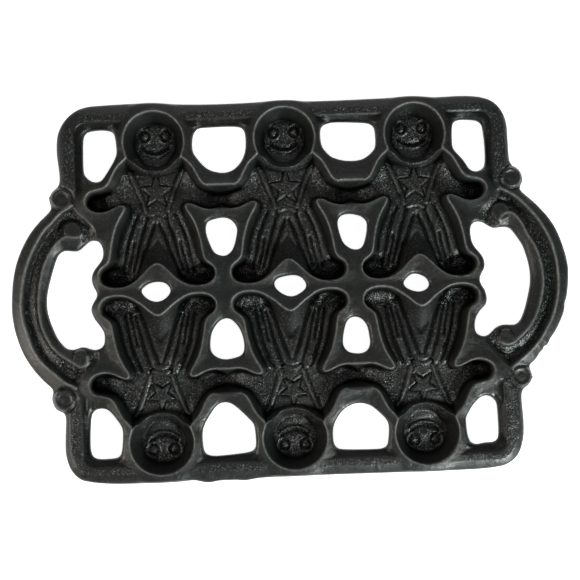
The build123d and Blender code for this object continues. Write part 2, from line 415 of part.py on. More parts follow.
lands = {}
parts_out = {}
for name, (cx, row, x0, x1, web) in CELLS.items():
    y0, y1 = (ROW_SPLIT, 140.0) if row == "back" else (-140.0, ROW_SPLIT)
    land = [(x + cx, y) for x, y in outline(3, row)]
    if name == "back_left_figure_cup":
        # this head stands a little proud of the rail
        land = [(x, y + 1.8 * max(0.0, (y - 101.0) / 14.45)) for x, y in land]
    crown = [(a * 0.72 + c * 0.28 + cx, b * 0.72 + d * 0.28) for (a, b), (c, d) in zip(outline(3, row), outline(0, row))]
    near = [row, "handle", "diamond"]
    # footprint of the land inside its own cell, used to fit the neighbours
    with BuildPart() as footprint:
        with BuildSketch(Plane.XY.offset(WEB_BOTTOM)):
            with BuildLine():
                Polyline(*land, close=True)
            make_face()
            with BuildLine():
                Polyline((x0, y0), (x1, y0), (x1, y1), (x0, y1), close=True)
            make_face(mode=Mode.INTERSECT)
        extrude(amount=RIM_Z - WEB_BOTTOM)
    lands[name] = footprint.part
    with BuildPart() as cup:
        # web and land at web height
        with BuildSketch(Plane.XY.offset(WEB_BOTTOM)):
            with BuildLine():
                Polyline(*land, close=True)
            make_face()
            with BuildLine():
                Polyline((x0, y0), (x1, y0), (x1, y1), (x0, y1), close=True)
            make_face(mode=Mode.INTERSECT)
            with BuildLine():
                Polyline(*web, close=True)
            make_face()
            for bx, by, br in BOSSES.values():
                with Locations((bx, by)):
                    Circle(br, mode=Mode.SUBTRACT)
            for key, pts in WINDOWS.items():
                if any(word in key for word in near):
                    with BuildLine():
                        Polyline(*pts, close=True)
                    make_face(mode=Mode.SUBTRACT)
        extrude(amount=WEB_TOP - WEB_BOTTOM)
        # raised land
        with BuildSketch(Plane.XY.offset(WEB_TOP)):
            with BuildLine():
                Polyline(*crown, close=True)
            make_face()
            with BuildLine():
                Polyline((x0, y0), (x1, y0), (x1, y1), (x0, y1), close=True)
            make_face(mode=Mode.INTERSECT)
            for bx, by, br in BOSSES.values():
                with Locations((bx, by)):
                    Circle(br, mode=Mode.SUBTRACT)
            for key, pts in WINDOWS.items():
                if any(word in key for word in near):
                    with BuildLine():
                        Polyline(*pts, close=True)
                    make_face(mode=Mode.SUBTRACT)
        extrude(amount=RIM_Z - WEB_TOP)
        add(bowls[row].moved(Location((cx, 0, 0))))
        add(cavities[row].moved(Location((cx, 0, 0))), mode=Mode.SUBTRACT)
        for joint in (split_left, split_right):
            if abs(x0 - joint) < 1e-6 or abs(x1 - joint) < 1e-6:
                add(troughs[row].moved(Location((joint, 0, 0))), mode=Mode.SUBTRACT)
        add(reliefs[row].moved(Location((cx, 0, 0))))
        add(reliefs[row + "_ridge"].moved(Location((cx, 0, 0))))
        with BuildSketch(Plane.XY.offset(-1.0)):
            with BuildLine():
                Polyline((x0, y0), (x1, y0), (x1, y1), (x0, y1), close=True)
            make_face()
        extrude(amount=RIM_Z + 4.0, mode=Mode.INTERSECT)
    parts_out[name] = cup.part

# two short gate stubs left on the outer face of the front rail
STUBS = [(-52.6, 9.6, 1.5), (-34.4, 9.0, 1.1)]
for side in ("back", "front"):
    with BuildPart() as rail:
        add(rails[side])
        if side == "front":
            with BuildSketch(Plane.XY.offset(RAIL_BOTTOM + 1.5)):
                for x, length, out in STUBS:
                    with BuildLine():
                        Polyline((x - length / 2, RAIL_Y_FRONT - half + 0.5), (x - length / 2 + 1.6, RAIL_Y_FRONT - half - out),
                                 (x + length / 2 - 1.6, RAIL_Y_FRONT - half - out), (x + length / 2, RAIL_Y_FRONT - half + 0.5), close=True)
                    make_face()
            extrude(amount=3.0)
        for name, footprint in lands.items():
            if name.startswith(side):
                add(footprint, mode=Mode.SUBTRACT)
                add(bowls[side].moved(Location((CELLS[name][0], 0, 0))), mode=Mode.SUBTRACT)
        for b in bosses.values():
            add(b, mode=Mode.SUBTRACT)
    parts_out[side + "_rail"] = rail.part

for side in ("left", "right"):
    with BuildPart() as grip:
        add(handles[side])
        for name, footprint in lands.items():
            if side in name:
                add(footprint, mode=Mode.SUBTRACT)
                add(bowls[CELLS[name][1]].moved(Location((CELLS[name][0], 0, 0))), mode=Mode.SUBTRACT)
        for r in rails.values():
            add(r, mode=Mode.SUBTRACT)
    parts_out[side + "_handle"] = grip.part

for name, b in bosses.items():
    parts_out[name] = b

os.makedirs("parts", exist_ok=True)
for name, shape in parts_out.items():
    piece = BuildPart()
    piece.part = Part(max(shape.solids(), key=lambda s: s.volume).wrapped)
    piece.part.label = name
    export_step(piece.part, "parts/" + name + ".step")
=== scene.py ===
# Gem pan for the rest pose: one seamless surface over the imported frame,
# built from height maps in millimetres and placed in metres.
import math

import numpy as np

import bpy
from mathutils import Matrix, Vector


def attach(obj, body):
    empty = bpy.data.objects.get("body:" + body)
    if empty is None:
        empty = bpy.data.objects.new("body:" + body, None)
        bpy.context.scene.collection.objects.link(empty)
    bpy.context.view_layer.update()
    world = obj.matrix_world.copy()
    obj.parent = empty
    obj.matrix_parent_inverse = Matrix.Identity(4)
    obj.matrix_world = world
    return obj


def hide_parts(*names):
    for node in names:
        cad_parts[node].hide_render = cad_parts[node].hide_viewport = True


STEP = 0.5             # grid step of the height maps, mm
X1 = np.arange(-173.5, 173.51, STEP)
Y1 = np.arange(-119.5, 119.51, STEP)
XX, YY = np.meshgrid(X1, Y1, indexing="ij")

RIM_Z = 18.5
WEB_Z = 17.35
WEB_BOTTOM = 12.2
EDGE_Z = 14.0
CROWN_Z = 17.6
CHANNEL_Z = 13.5
LIP_Z = 17.9
BOSS_Z = 18.1
RAIL_BOTTOM = 10.0
PITCH = 80.4
GRID_X = -1.4
BACK_FOOT = 2.85
FRONT_FOOT = -1.75
HEAD_V = 89.5

# outside contour of the casting in plan
SILHOUETTE = [
    (110.6, 115.5), (93.3, 115.2), (78.0, 116.2), (61.1, 115.6), (12.3, 115.2), (4.9, 116.0), (-3.5, 116.2), (-25.8, 115.3),
    (-46.8, 115.2), (-65.2, 115.8), (-82.2, 117.2), (-96.9, 117.3), (-116.5, 116.6), (-121.9, 116.1), (-128.3, 114.1), (-133.4, 110.6),
    (-136.2, 107.7), (-138.7, 104.1), (-140.4, 100.4), (-141.3, 97.2), (-141.9, 88.6), (-140.7, 68.4), (-144.9, 64.1), (-146.9, 61.0),
    (-147.2, 58.4), (-146.1, 54.2), (-146.4, 52.8), (-154.1, 44.9), (-158.6, 39.5), (-161.7, 34.7), (-165.7, 26.7), (-168.3, 19.4),
    (-170.1, 11.1), (-171.0, 2.9), (-171.4, -6.5), (-171.1, -12.6), (-169.5, -22.0), (-165.3, -34.4), (-162.7, -39.4), (-158.9, -45.1),
    (-153.8, -51.2), (-147.9, -57.2), (-147.5, -58.6), (-148.2, -61.6), (-148.2, -64.5), (-146.9, -68.6), (-145.3, -70.1), (-141.5, -71.8),
    (-140.3, -73.5), (-140.1, -75.5), (-140.9, -91.2), (-140.6, -97.4), (-138.8, -104.2), (-136.1, -108.7), (-132.9, -111.7), (-130.5, -112.9),
    (-115.1, -115.5), (-73.9, -116.0), (-62.8, -115.6), (-57.6, -117.0), (-54.1, -117.3), (-48.0, -116.4), (-38.2, -116.4), (-32.4, -116.9),
    (-24.4, -115.8), (-1.4, -115.4), (98.3, -115.8), (115.4, -115.3), (125.9, -113.8), (128.4, -112.7), (132.4, -110.1), (134.2, -108.0),
    (136.3, -104.3), (138.5, -96.6), (139.1, -88.5), (138.7, -70.6), (139.7, -68.6), (143.7, -64.8), (145.4, -62.1), (145.8, -59.2),
    (144.5, -54.9), (144.8, -53.3), (148.4, -50.1), (151.8, -45.4), (153.4, -44.2), (154.0, -42.2), (155.3, -42.1), (157.0, -40.1),
    (157.7, -38.4), (161.2, -33.8), (166.3, -24.4), (168.0, -19.3), (168.3, -15.9), (169.5, -13.0), (170.5, -7.9), (171.4, 0.9),
    (171.3, 8.8), (167.7, 23.6), (162.9, 34.4), (154.0, 45.7), (145.5, 53.7), (144.2, 55.3), (144.2, 57.0), (145.9, 60.7),
    (145.8, 63.5), (143.9, 67.8), (139.3, 71.9), (138.4, 73.4), (137.5, 95.8), (136.6, 100.6), (134.8, 104.8), (131.1, 109.8),
    (126.5, 112.7), (120.1, 114.5),
]

# one half of a figure: cavity edge, cavity floor, outside near the floor, land edge
HALF = [
    ((0.0, 108.2), (0.0, 102.2), (0.0, 106.3), (0.0, 112.6)),
    ((7.1, 106.8), (4.8, 101.2), (6.4, 105.1), (8.8, 110.9)),
    ((13.2, 102.8), (8.9, 98.5), (11.9, 101.5), (16.3, 106.0)),
    ((17.2, 96.7), (11.7, 94.4), (15.5, 96.0), (21.3, 98.4)),
    ((18.7, 89.5), (12.6, 89.5), (16.8, 89.5), (23.1, 89.5)),
    ((18.0, 84.1), (12.2, 85.6), (16.6, 85.6), (22.5, 84.4)),
    ((16.8, 79.8), (12.7, 79.6), (16.9, 81.2), (22.7, 80.6)),
    ((19.5, 77.2), (14.4, 74.2), (18.2, 77.2), (24.2, 78.4)),
    ((22.8, 73.8), (17.2, 70.5), (21.2, 73.3), (26.8, 75.7)),
    ((25.2, 69.6), (19.8, 66.4), (23.8, 68.8), (29.0, 71.8)),
    ((27.6, 64.8), (22.8, 62.2), (26.4, 65.0), (31.0, 68.2)),
    ((30.3, 61.8), (26.6, 58.9), (29.6, 62.4), (33.0, 66.0)),
    ((34.5, 60.4), (32.0, 57.3), (33.6, 61.2), (36.2, 64.8)),
    ((38.6, 59.6), (36.8, 56.6), (39.2, 60.0), (40.4, 64.0)),
    ((41.6, 57.4), (39.3, 55.4), (42.6, 57.6), (45.2, 60.4)),
    ((43.0, 53.5), (40.0, 53.1), (44.2, 53.2), (47.5, 54.0)),
    ((41.4, 49.6), (38.9, 50.8), (42.0, 48.6), (45.6, 47.0)),
    ((38.0, 47.3), (36.4, 49.4), (38.0, 45.8), (40.4, 43.2)),
    ((33.4, 46.4), (32.6, 48.8), (32.9, 44.8), (35.4, 42.0)),
    ((28.8, 47.2), (28.0, 49.8), (27.6, 45.6), (32.6, 41.4)),
    ((24.0, 49.4), (22.6, 52.2), (23.4, 46.4), (30.8, 40.6)),
    ((20.5, 50.6), (17.6, 53.0), (21.6, 46.0), (30.0, 39.4)),
    ((18.3, 49.3), (14.6, 50.8), (20.6, 45.0), (29.6, 38.4)),
    ((19.4, 46.3), (13.8, 45.6), (20.4, 43.6), (29.5, 37.2)),
    ((21.6, 42.6), (15.4, 40.6), (20.8, 41.2), (29.6, 35.8)),
    ((24.0, 37.8), (17.6, 35.6), (22.2, 36.8), (29.9, 34.0)),
    ((25.6, 33.0), (19.4, 31.0), (23.6, 32.0), (30.4, 31.4)),
    ((26.8, 28.0), (20.8, 26.4), (25.0, 27.4), (31.3, 27.8)),
    ((27.7, 23.0), (21.8, 21.8), (26.0, 22.6), (32.2, 22.8)),
    ((28.4, 18.5), (22.8, 17.6), (27.2, 18.8), (33.0, 19.6)),
    ((29.6, 15.5), (25.0, 14.2), (29.2, 16.4), (34.6, 17.2)),
    ((31.8, 13.6), (28.6, 12.0), (32.2, 14.6), (36.6, 15.4)),
    ((34.3, 11.6), (31.6, 10.2), (35.2, 12.2), (38.8, 12.6)),
    ((35.6, 8.7), (32.8, 7.9), (37.0, 8.2), (40.2, 8.4)),
    ((35.2, 5.2), (32.4, 5.8), (36.2, 4.0), (39.4, 3.2)),
    ((33.0, 2.3), (30.8, 4.0), (33.6, 0.8), (36.2, -1.2)),
    ((29.2, 0.5), (28.0, 2.9), (29.4, -1.1), (30.6, -3.6)),
    ((24.6, 0.0), (24.2, 2.5), (24.4, -1.7), (24.6, -4.4)),
    ((20.0, 0.5), (20.2, 3.0), (19.2, -1.1), (18.6, -3.8)),
    ((16.0, 2.0), (17.0, 4.8), (14.6, 1.2), (14.2, -2.2)),
    ((12.0, 4.6), (14.0, 7.8), (10.6, 5.2), (9.8, 0.4)),
    ((8.2, 8.0), (10.6, 12.6), (7.0, 10.0), (6.2, 3.6)),
    ((4.8, 11.4), (7.2, 18.6), (4.0, 15.2), (3.2, 6.4)),
    ((2.2, 13.4), (3.6, 25.0), (1.8, 18.6), (1.4, 7.6)),
    ((0.0, 14.2), (0.0, 30.0), (0.0, 19.8), (0.0, 8.0)),
]

# through windows
WINDOWS = {
    "handle_right": [(114.8, 35.8), (117.1, 36.2), (119.2, 35.9), (124.2, 32.8), (126.5, 31.9), (133.3, 32.4), (135.7, 31.8), (137.3, 30.7), (142.8, 22.7), (144.1, 20.2), (146.9, 10.1), (147.7, 3.4), (147.5, -2.1), (146.7, -6.6), (142.6, -20.5), (139.5, -26.2), (136.8, -27.9), (129.9, -27.8), (126.7, -28.5), (124.2, -30.0), (120.1, -33.6), (117.2, -34.5), (115.2, -34.1), (112.6, -32.7), (111.8, -31.4), (111.5, -29.1), (111.8, -25.5), (112.9, -22.3), (114.6, -19.6), (118.8, -15.0), (119.8, -11.8), (119.2, -7.6), (116.4, -1.8), (115.9, 0.1), (116.4, 2.4), (119.2, 8.0), (119.3, 11.2), (117.8, 15.3), (112.7, 22.5), (111.6, 28.0), (111.9, 33.2), (113.1, 34.9)],
    "handle_left": [(-122.7, 32.4), (-120.4, 32.7), (-117.4, 31.8), (-115.6, 29.4), (-114.8, 26.6), (-114.8, 23.2), (-115.4, 21.1), (-120.7, 13.8), (-122.1, 10.4), (-121.9, 6.6), (-119.4, 1.0), (-119.1, -0.7), (-119.8, -2.8), (-122.6, -7.4), (-123.0, -9.6), (-122.2, -13.0), (-115.7, -23.3), (-115.2, -25.6), (-115.5, -30.3), (-116.9, -32.5), (-119.9, -33.8), (-122.4, -33.8), (-128.3, -32.0), (-130.6, -32.2), (-134.2, -33.3), (-136.0, -33.2), (-138.6, -32.5), (-140.3, -31.1), (-143.9, -26.4), (-145.7, -22.6), (-148.0, -16.4), (-149.7, -9.7), (-150.0, -3.8), (-149.4, 2.2), (-145.4, 16.8), (-143.3, 22.7), (-142.1, 24.8), (-140.3, 26.3), (-138.3, 27.0), (-132.3, 26.5), (-129.8, 26.9)],
    "head_gap_front_left": [(-43.6, -69.1), (-40.6, -69.5), (-37.2, -71.6), (-29.8, -78.9), (-26.7, -82.6), (-25.9, -86.1), (-25.6, -95.0), (-26.1, -97.1), (-27.6, -98.5), (-31.3, -99.5), (-50.6, -101.0), (-54.1, -100.3), (-56.4, -98.2), (-57.0, -96.3), (-57.4, -87.5), (-56.5, -83.2), (-52.1, -75.6), (-48.8, -71.4), (-46.5, -69.7)],
    "head_gap_front_right": [(36.3, -72.8), (40.7, -72.9), (45.0, -74.3), (48.6, -77.1), (54.6, -83.5), (55.7, -86.8), (55.0, -96.0), (54.4, -98.4), (52.9, -99.8), (51.0, -100.6), (48.7, -100.8), (28.7, -100.1), (24.9, -99.3), (22.8, -97.4), (22.0, -94.6), (22.1, -87.5), (23.6, -83.1), (26.6, -78.5), (29.1, -76.0), (33.9, -73.4)],
    "head_gap_back_left": [(-49.6, 100.6), (-31.2, 100.6), (-28.3, 99.7), (-26.3, 97.7), (-25.6, 95.5), (-25.4, 89.5), (-26.1, 84.1), (-28.9, 78.1), (-31.3, 75.4), (-33.6, 73.6), (-36.6, 72.4), (-39.8, 72.0), (-42.5, 72.3), (-47.0, 73.6), (-49.8, 75.3), (-52.0, 77.3), (-56.8, 83.7), (-57.7, 85.7), (-58.0, 88.2), (-57.7, 93.7), (-57.0, 96.3), (-56.0, 98.1), (-53.6, 100.2)],
    "head_gap_back_right": [(28.5, 101.2), (47.4, 100.4), (50.2, 99.8), (52.9, 98.5), (54.1, 97.2), (54.6, 95.4), (54.8, 86.5), (53.7, 83.3), (47.6, 78.1), (42.4, 76.8), (35.1, 77.1), (29.8, 78.6), (27.6, 79.6), (23.9, 83.3), (22.2, 86.1), (21.4, 89.7), (21.4, 95.1), (21.8, 97.3), (23.0, 98.9), (25.7, 100.5)],
    "corner_back_left": [(-115.6, 101.0), (-110.7, 100.7), (-107.9, 99.5), (-106.5, 98.2), (-105.5, 95.0), (-105.0, 85.9), (-105.8, 83.2), (-113.1, 71.2), (-115.1, 69.3), (-117.7, 68.7), (-119.9, 69.2), (-121.8, 70.3), (-123.8, 72.5), (-125.0, 74.7), (-125.4, 78.7), (-124.9, 94.1), (-124.2, 97.3), (-122.3, 99.7), (-120.1, 100.6)],
    "corner_front_left": [(-121.0, -70.4), (-117.0, -70.0), (-113.9, -71.3), (-110.6, -75.0), (-106.2, -82.0), (-105.8, -85.0), (-106.9, -96.3), (-107.8, -98.2), (-109.7, -99.5), (-115.5, -100.2), (-120.7, -100.0), (-123.5, -98.7), (-125.2, -96.3), (-125.7, -93.1), (-125.1, -79.3), (-123.9, -73.3), (-122.6, -71.5)],
    "corner_back_right": [(107.3, 99.8), (110.1, 100.3), (117.8, 99.2), (120.2, 98.0), (121.6, 96.1), (122.9, 89.0), (122.7, 72.6), (121.3, 69.9), (118.2, 67.8), (115.4, 67.7), (112.9, 68.9), (109.1, 74.9), (104.2, 80.7), (103.1, 82.6), (102.8, 85.5), (103.6, 96.7), (104.7, 98.5)],
    "corner_front_right": [(115.3, -71.0), (117.5, -71.2), (119.7, -72.2), (121.6, -74.3), (122.7, -76.6), (123.3, -83.5), (122.9, -95.4), (121.8, -97.6), (119.6, -99.0), (114.4, -99.2), (110.4, -100.1), (108.6, -100.0), (105.7, -98.2), (104.3, -95.5), (103.4, -86.7), (103.5, -84.0), (105.7, -79.8), (108.9, -75.4), (112.5, -72.1)],
    "leg_gap_front_left": [(-41.0, -18.0), (-39.0, -18.3), (-37.1, -19.4), (-33.4, -23.9), (-31.2, -29.8), (-30.6, -35.1), (-31.1, -38.5), (-32.7, -40.5), (-37.2, -42.0), (-41.8, -42.6), (-45.6, -41.8), (-48.7, -39.9), (-50.4, -37.6), (-50.9, -34.3), (-50.1, -27.6), (-48.3, -23.6), (-44.6, -19.3)],
    "leg_gap_back_left": [(-44.0, 43.8), (-39.6, 44.0), (-36.6, 42.9), (-34.0, 40.3), (-32.6, 37.2), (-32.7, 34.5), (-35.4, 24.9), (-37.8, 22.0), (-40.5, 20.8), (-44.2, 21.5), (-46.9, 23.5), (-49.9, 30.5), (-51.2, 35.3), (-51.1, 39.3), (-50.2, 41.5), (-48.4, 42.6)],
    "leg_gap_back_right": [(34.6, 43.5), (37.8, 43.5), (43.5, 42.1), (45.5, 40.7), (47.2, 38.5), (47.3, 34.3), (46.0, 27.9), (44.3, 23.7), (42.3, 22.1), (39.8, 21.8), (37.6, 22.3), (34.1, 24.7), (32.5, 26.9), (30.1, 35.3), (29.9, 39.0), (30.4, 40.6), (31.8, 42.4)],
    "leg_gap_front_right": [(35.9, -20.2), (38.8, -20.0), (41.4, -21.0), (43.8, -23.4), (45.1, -25.8), (46.2, -32.0), (46.4, -36.5), (45.1, -39.7), (42.4, -41.6), (38.6, -42.0), (34.0, -41.1), (31.9, -39.6), (30.4, -36.9), (30.3, -32.9), (32.2, -24.5), (33.6, -21.8)],
    "diamond_middle": [(-3.8, 6.5), (1.7, 6.9), (5.4, 5.8), (7.2, 4.2), (8.3, 2.4), (8.6, 0.5), (8.1, -1.1), (5.4, -3.4), (0.8, -5.5), (-2.4, -5.3), (-5.9, -3.7), (-9.5, -0.5), (-10.3, 1.4), (-10.4, 3.2), (-8.9, 5.0)],
    "diamond_left": [(-83.8, 5.7), (-80.6, 5.7), (-77.9, 5.1), (-75.6, 3.3), (-74.5, 1.4), (-74.7, -0.8), (-76.2, -2.9), (-78.7, -4.8), (-81.5, -5.8), (-84.0, -5.8), (-87.6, -4.4), (-90.7, -1.7), (-91.8, 0.3), (-91.4, 2.0), (-88.9, 4.0), (-86.9, 5.0)],
    "diamond_right": [(73.8, 4.9), (77.0, 5.1), (82.4, 2.6), (84.2, -0.4), (84.2, -2.0), (83.5, -3.3), (80.9, -5.0), (78.0, -5.5), (73.9, -4.7), (70.3, -2.7), (69.0, -1.0), (69.1, 0.7), (71.4, 3.2)],
}

# the end of each handle against the web
LEFT_INSIDE = [(-141.0, -62.0), (-134.0, -58.5), (-128.6, -53.5), (-122.5, -46.5), (-117.6, -39.5), (-119.0, -30.0), (-119.0, 28.0), (-117.5, 38.0), (-121.5, 44.0), (-128.6, 50.5), (-133.0, 55.5), (-141.0, 58.0)]
RIGHT_INSIDE = [(139.5, -58.5), (132.0, -55.0), (126.0, -49.5), (120.0, -42.5), (115.6, -37.0), (117.0, -30.0), (117.0, 31.0), (115.6, 41.0), (120.0, 47.0), (126.0, 53.5), (131.5, 58.5), (139.0, 61.0)]
BULBS = {"left": [(-132.9, 39.2, 5.3), (-129.5, -38.6, 5.0)], "right": [(130.2, 41.6, 5.8), (130.3, -35.8, 5.0)]}
# crests of the handle lips, and the hollows that curl round the bulbs
OUTER_CREST = {
    "left": [(-130.4, 56.2), (-134.4, 53.2), (-139.3, 50.2), (-144.7, 44.6), (-150.1, 39.1), (-154.0, 33.1), (-157.4, 26.6), (-160.3, 19.6), (-162.2, 13.1), (-163.5, 6.6), (-164.4, -0.4), (-164.6, -6.3), (-163.7, -14.3), (-161.1, -23.7), (-158.6, -31.1), (-155.0, -37.6), (-150.5, -43.0), (-145.0, -47.9), (-139.5, -52.9), (-134.6, -55.4), (-132.1, -57.3)],
    "right": [(130.2, 56.3), (137.3, 52.7), (143.3, 47.7), (149.3, 41.1), (153.8, 35.0), (157.8, 27.9), (160.7, 20.8), (162.6, 12.8), (163.5, 3.7), (163.4, -6.4), (161.7, -15.4), (159.1, -23.5), (156.5, -28.5), (151.8, -36.5), (146.2, -43.0), (141.1, -47.5), (136.0, -51.5), (132.9, -54.4), (132.4, -57.4)],
}
INNER_CREST = {
    "left": [(-127.1, 36.7), (-128.3, 35.0), (-132.3, 34.7), (-136.3, 35.3), (-140.2, 33.5), (-143.7, 30.1), (-147.1, 25.1), (-150.0, 19.1), (-152.3, 10.6), (-153.7, 2.6), (-154.1, -5.3), (-153.5, -13.3), (-151.9, -20.2), (-149.4, -26.2), (-145.8, -32.1), (-141.3, -36.6), (-136.9, -39.6), (-133.4, -42.1), (-129.4, -44.0), (-126.0, -42.1), (-125.0, -38.1)],
    "right": [(129.1, 36.6), (132.2, 40.1), (136.2, 41.1), (139.3, 39.1), (142.3, 35.1), (146.2, 27.0), (150.7, 18.9), (153.6, 8.8), (154.5, -1.3), (153.4, -9.4), (151.2, -17.4), (148.1, -24.5), (144.0, -30.5), (138.8, -35.5), (134.3, -39.0), (130.2, -40.0), (127.2, -39.0)],
}
MOATS = [[(-141.9, 41.0), (-137.9, 44.5), (-132.9, 46.5), (-127.9, 44.8), (-123.9, 41.0)],
    [(122.0, 37.3), (124.7, 44.5), (130.8, 48.6), (138.0, 47.0), (143.0, 42.5)],
    [(-140.8, -43.1), (-136.3, -46.6), (-130.9, -47.6), (-125.4, -45.1)],
    [(122.7, -40.0), (126.7, -44.0), (131.8, -45.6), (137.9, -43.1)]]
BOSSES = {
    "back_left_boss": (-138.7, 58.7, 8.4),
    "front_left_boss": (-139.6, -63.6, 8.6),
    "back_right_boss": (137.6, 62.6, 8.4),
    "front_right_boss": (137.9, -60.0, 8.0),
}




# ---------------------------------------------------------------------------
# small tools
# ---------------------------------------------------------------------------
def smax(a, b, k):
    return 0.5 * (a + b + np.sqrt((a - b) ** 2 + k * k))


def smin(a, b, k):
    return 0.5 * (a + b - np.sqrt((a - b) ** 2 + k * k))


def step(t):
    t = np.clip(t, 0.0, 1.0)
    return t * t * (3.0 - 2.0 * t)


def curve(pts, closed=True, gap=0.8):
    """Centripetal Catmull-Rom line through the points, about one point per gap."""
    p = np.asarray(pts, float)
    n = len(p)
    out = []
    for i in range(n if closed else n - 1):
        if closed:
            a, b, c, d = p[(i - 1) % n], p[i], p[(i + 1) % n], p[(i + 2) % n]
        else:
            a, b, c, d = p[max(i - 1, 0)], p[i], p[i + 1], p[min(i + 2, n - 1)]
            if i == 0:
                a = 2 * b - c
            if i == n - 2:
                d = 2 * c - b
        t1 = math.sqrt(max(np.hypot(*(b - a)), 1e-6))
        t2 = t1 + math.sqrt(max(np.hypot(*(c - b)), 1e-6))
        t3 = t2 + math.sqrt(max(np.hypot(*(d - c)), 1e-6))
        m = max(1, int(math.ceil(np.hypot(*(c - b)) / gap)))
        for k in range(m):
            t = t1 + (t2 - t1) * k / m
            a1 = a * (t1 - t) / t1 + b * t / t1
            a2 = b * (t2 - t) / (t2 - t1) + c * (t - t1) / (t2 - t1)
            a3 = c * (t3 - t) / (t3 - t2) + d * (t - t2) / (t3 - t2)
            b1 = a1 * (t2 - t) / t2 + a2 * t / t2
            b2 = a2 * (t3 - t) / (t3 - t1) + a3 * (t - t1) / (t3 - t1)
            out.append(b1 * (t2 - t) / (t2 - t1) + b2 * (t - t1) / (t2 - t1))
    if not closed:
        out.append(p[-1])
    return np.array(out)


def soften(p, times):
    """Evens out a closed line."""
    for _ in range(times):
        p = 0.25 * np.roll(p, 1, 0) + 0.5 * p + 0.25 * np.roll(p, -1, 0)
    return p


def line_field(p, reach, closed=True, xs=None, ys=None):
    """Distance to a line on the grid, no more than reach."""
    xs = X1 if xs is None else xs
    ys = Y1 if ys is None else ys
    field = np.full((len(xs), len(ys)), float(reach))
    last = len(p) if closed else len(p) - 1
    for i in range(last):
        a, b = p[i], p[(i + 1) % len(p)]
        i0 = np.searchsorted(xs, min(a[0], b[0]) - reach)
        i1 = np.searchsorted(xs, max(a[0], b[0]) + reach)
        j0 = np.searchsorted(ys, min(a[1], b[1]) - reach)
        j1 = np.searchsorted(ys, max(a[1], b[1]) + reach)
        if i0 >= i1 or j0 >= j1:
            continue
        dx, dy = b - a
        gx = xs[i0:i1, None] - a[0]
        gy = ys[None, j0:j1] - a[1]
        q = max(dx * dx + dy * dy, 1e-12)
        t = np.clip((gx * dx + gy * dy) / q, 0.0, 1.0)
        d = np.hypot(gx - t * dx, gy - t * dy)
        part = field[i0:i1, j0:j1]
        np.minimum(part, d, out=part)
    return field


def inside(p, xs=None, ys=None):
    """Which grid points lie within a closed line."""
    xs = X1 if xs is None else xs
    ys = Y1 if ys is None else ys
    flips = np.zeros((len(xs) + 1, len(ys)), np.int32)
    q = np.roll(p, -1, 0)
    for (ax, ay), (bx, by) in zip(p, q):
        if ay == by:
            continue
        lo, hi = (ay, by) if ay < by else (by, ay)
        j0, j1 = np.searchsorted(ys, lo, "left"), np.searchsorted(ys, hi, "left")
        if j0 >= j1:
            continue
        cross = ax + (ys[j0:j1] - ay) * (bx - ax) / (by - ay)
        flips[np.searchsorted(xs, cross, "left"), np.arange(j0, j1)] += 1
    return (np.cumsum(flips, 0)[:-1] % 2) == 1


def signed(p, reach, xs=None, ys=None):
    """Distance to a closed line, positive within it."""
    return np.where(inside(p, xs, ys), 1.0, -1.0) * line_field(p, reach, True, xs, ys)


def grain(seed, small, large, shape=None):
    """Even noise between two wavelengths in mm, standard deviation 1."""
    shape = XX.shape if shape is None else shape
    rng = np.random.default_rng(seed)
    f = np.fft.rfft2(rng.standard_normal(shape))
    kx = np.fft.fftfreq(shape[0], STEP)[:, None]
    ky = np.fft.rfftfreq(shape[1], STEP)[None, :]
    k = np.hypot(kx, ky)
    keep = np.exp(-((k * small) ** 2) * 0.7) * (1.0 - np.exp(-((k * large) ** 2)))
    n = np.fft.irfft2(f * keep, s=shape)
    return n / n.std()


def figure_outline(level, row, cx):
    pts = []
    right = [p[level] for p in HALF]
    left = [(-u, v) for u, v in reversed(right[1:-1])]
    if level == 1:
        # the cavity walls stand steeper along the arms and the outside of the legs
        rims = [p[0] for p in HALF]
        near = []
        for (a, b), (u, v) in zip(rims, right):
            k = 0.0 if v > 78.5 or (u < 13.0 and v < 34.0) else (0.30 if v < 12.0 else 0.34)
            near.append((u + (a - u) * k, v + (b - v) * k))
        right = near
        left = [(-u, v) for u, v in reversed(right[1:-1])]
    for u, v in right + left:
        if row == "front":
            lift = 1.0 if v > 79.0 else max(0.0, (v - 58.0) / 21.0)
            wide = 1.05 if v > 79.0 else 1.0
            if level in (0, 3) and v < 15.0 and abs(u) < 9.0:
                v = v * 0.91
            pts.append((cx + u * wide, FRONT_FOOT - (v + 0.9 * lift)))
        else:
            pts.append((cx + u, BACK_FOOT + v))
    return soften(curve(pts), 3)


def blur(a, sigma):
    """Even blur of a map, sigma in mm."""
    n = int(math.ceil(3 * sigma / STEP))
    k = np.exp(-0.5 * (np.arange(-n, n + 1) * STEP / sigma) ** 2)
    k /= k.sum()
    p = np.pad(a, n, mode="edge")
    p = sum(w * p[i:i + a.shape[0]] for i, w in enumerate(k))
    return sum(w * p[:, i:i + a.shape[1]] for i, w in enumerate(k))


CUPS = {
    "back_left_figure_cup": (GRID_X - PITCH, "back"),
    "back_middle_figure_cup": (GRID_X, "back"),
    "back_right_figure_cup": (GRID_X + PITCH, "back"),
    "front_left_figure_cup": (GRID_X - PITCH - 0.2, "front"),
    "front_middle_figure_cup": (GRID_X, "front"),
    "front_right_figure_cup": (GRID_X + PITCH, "front"),
}

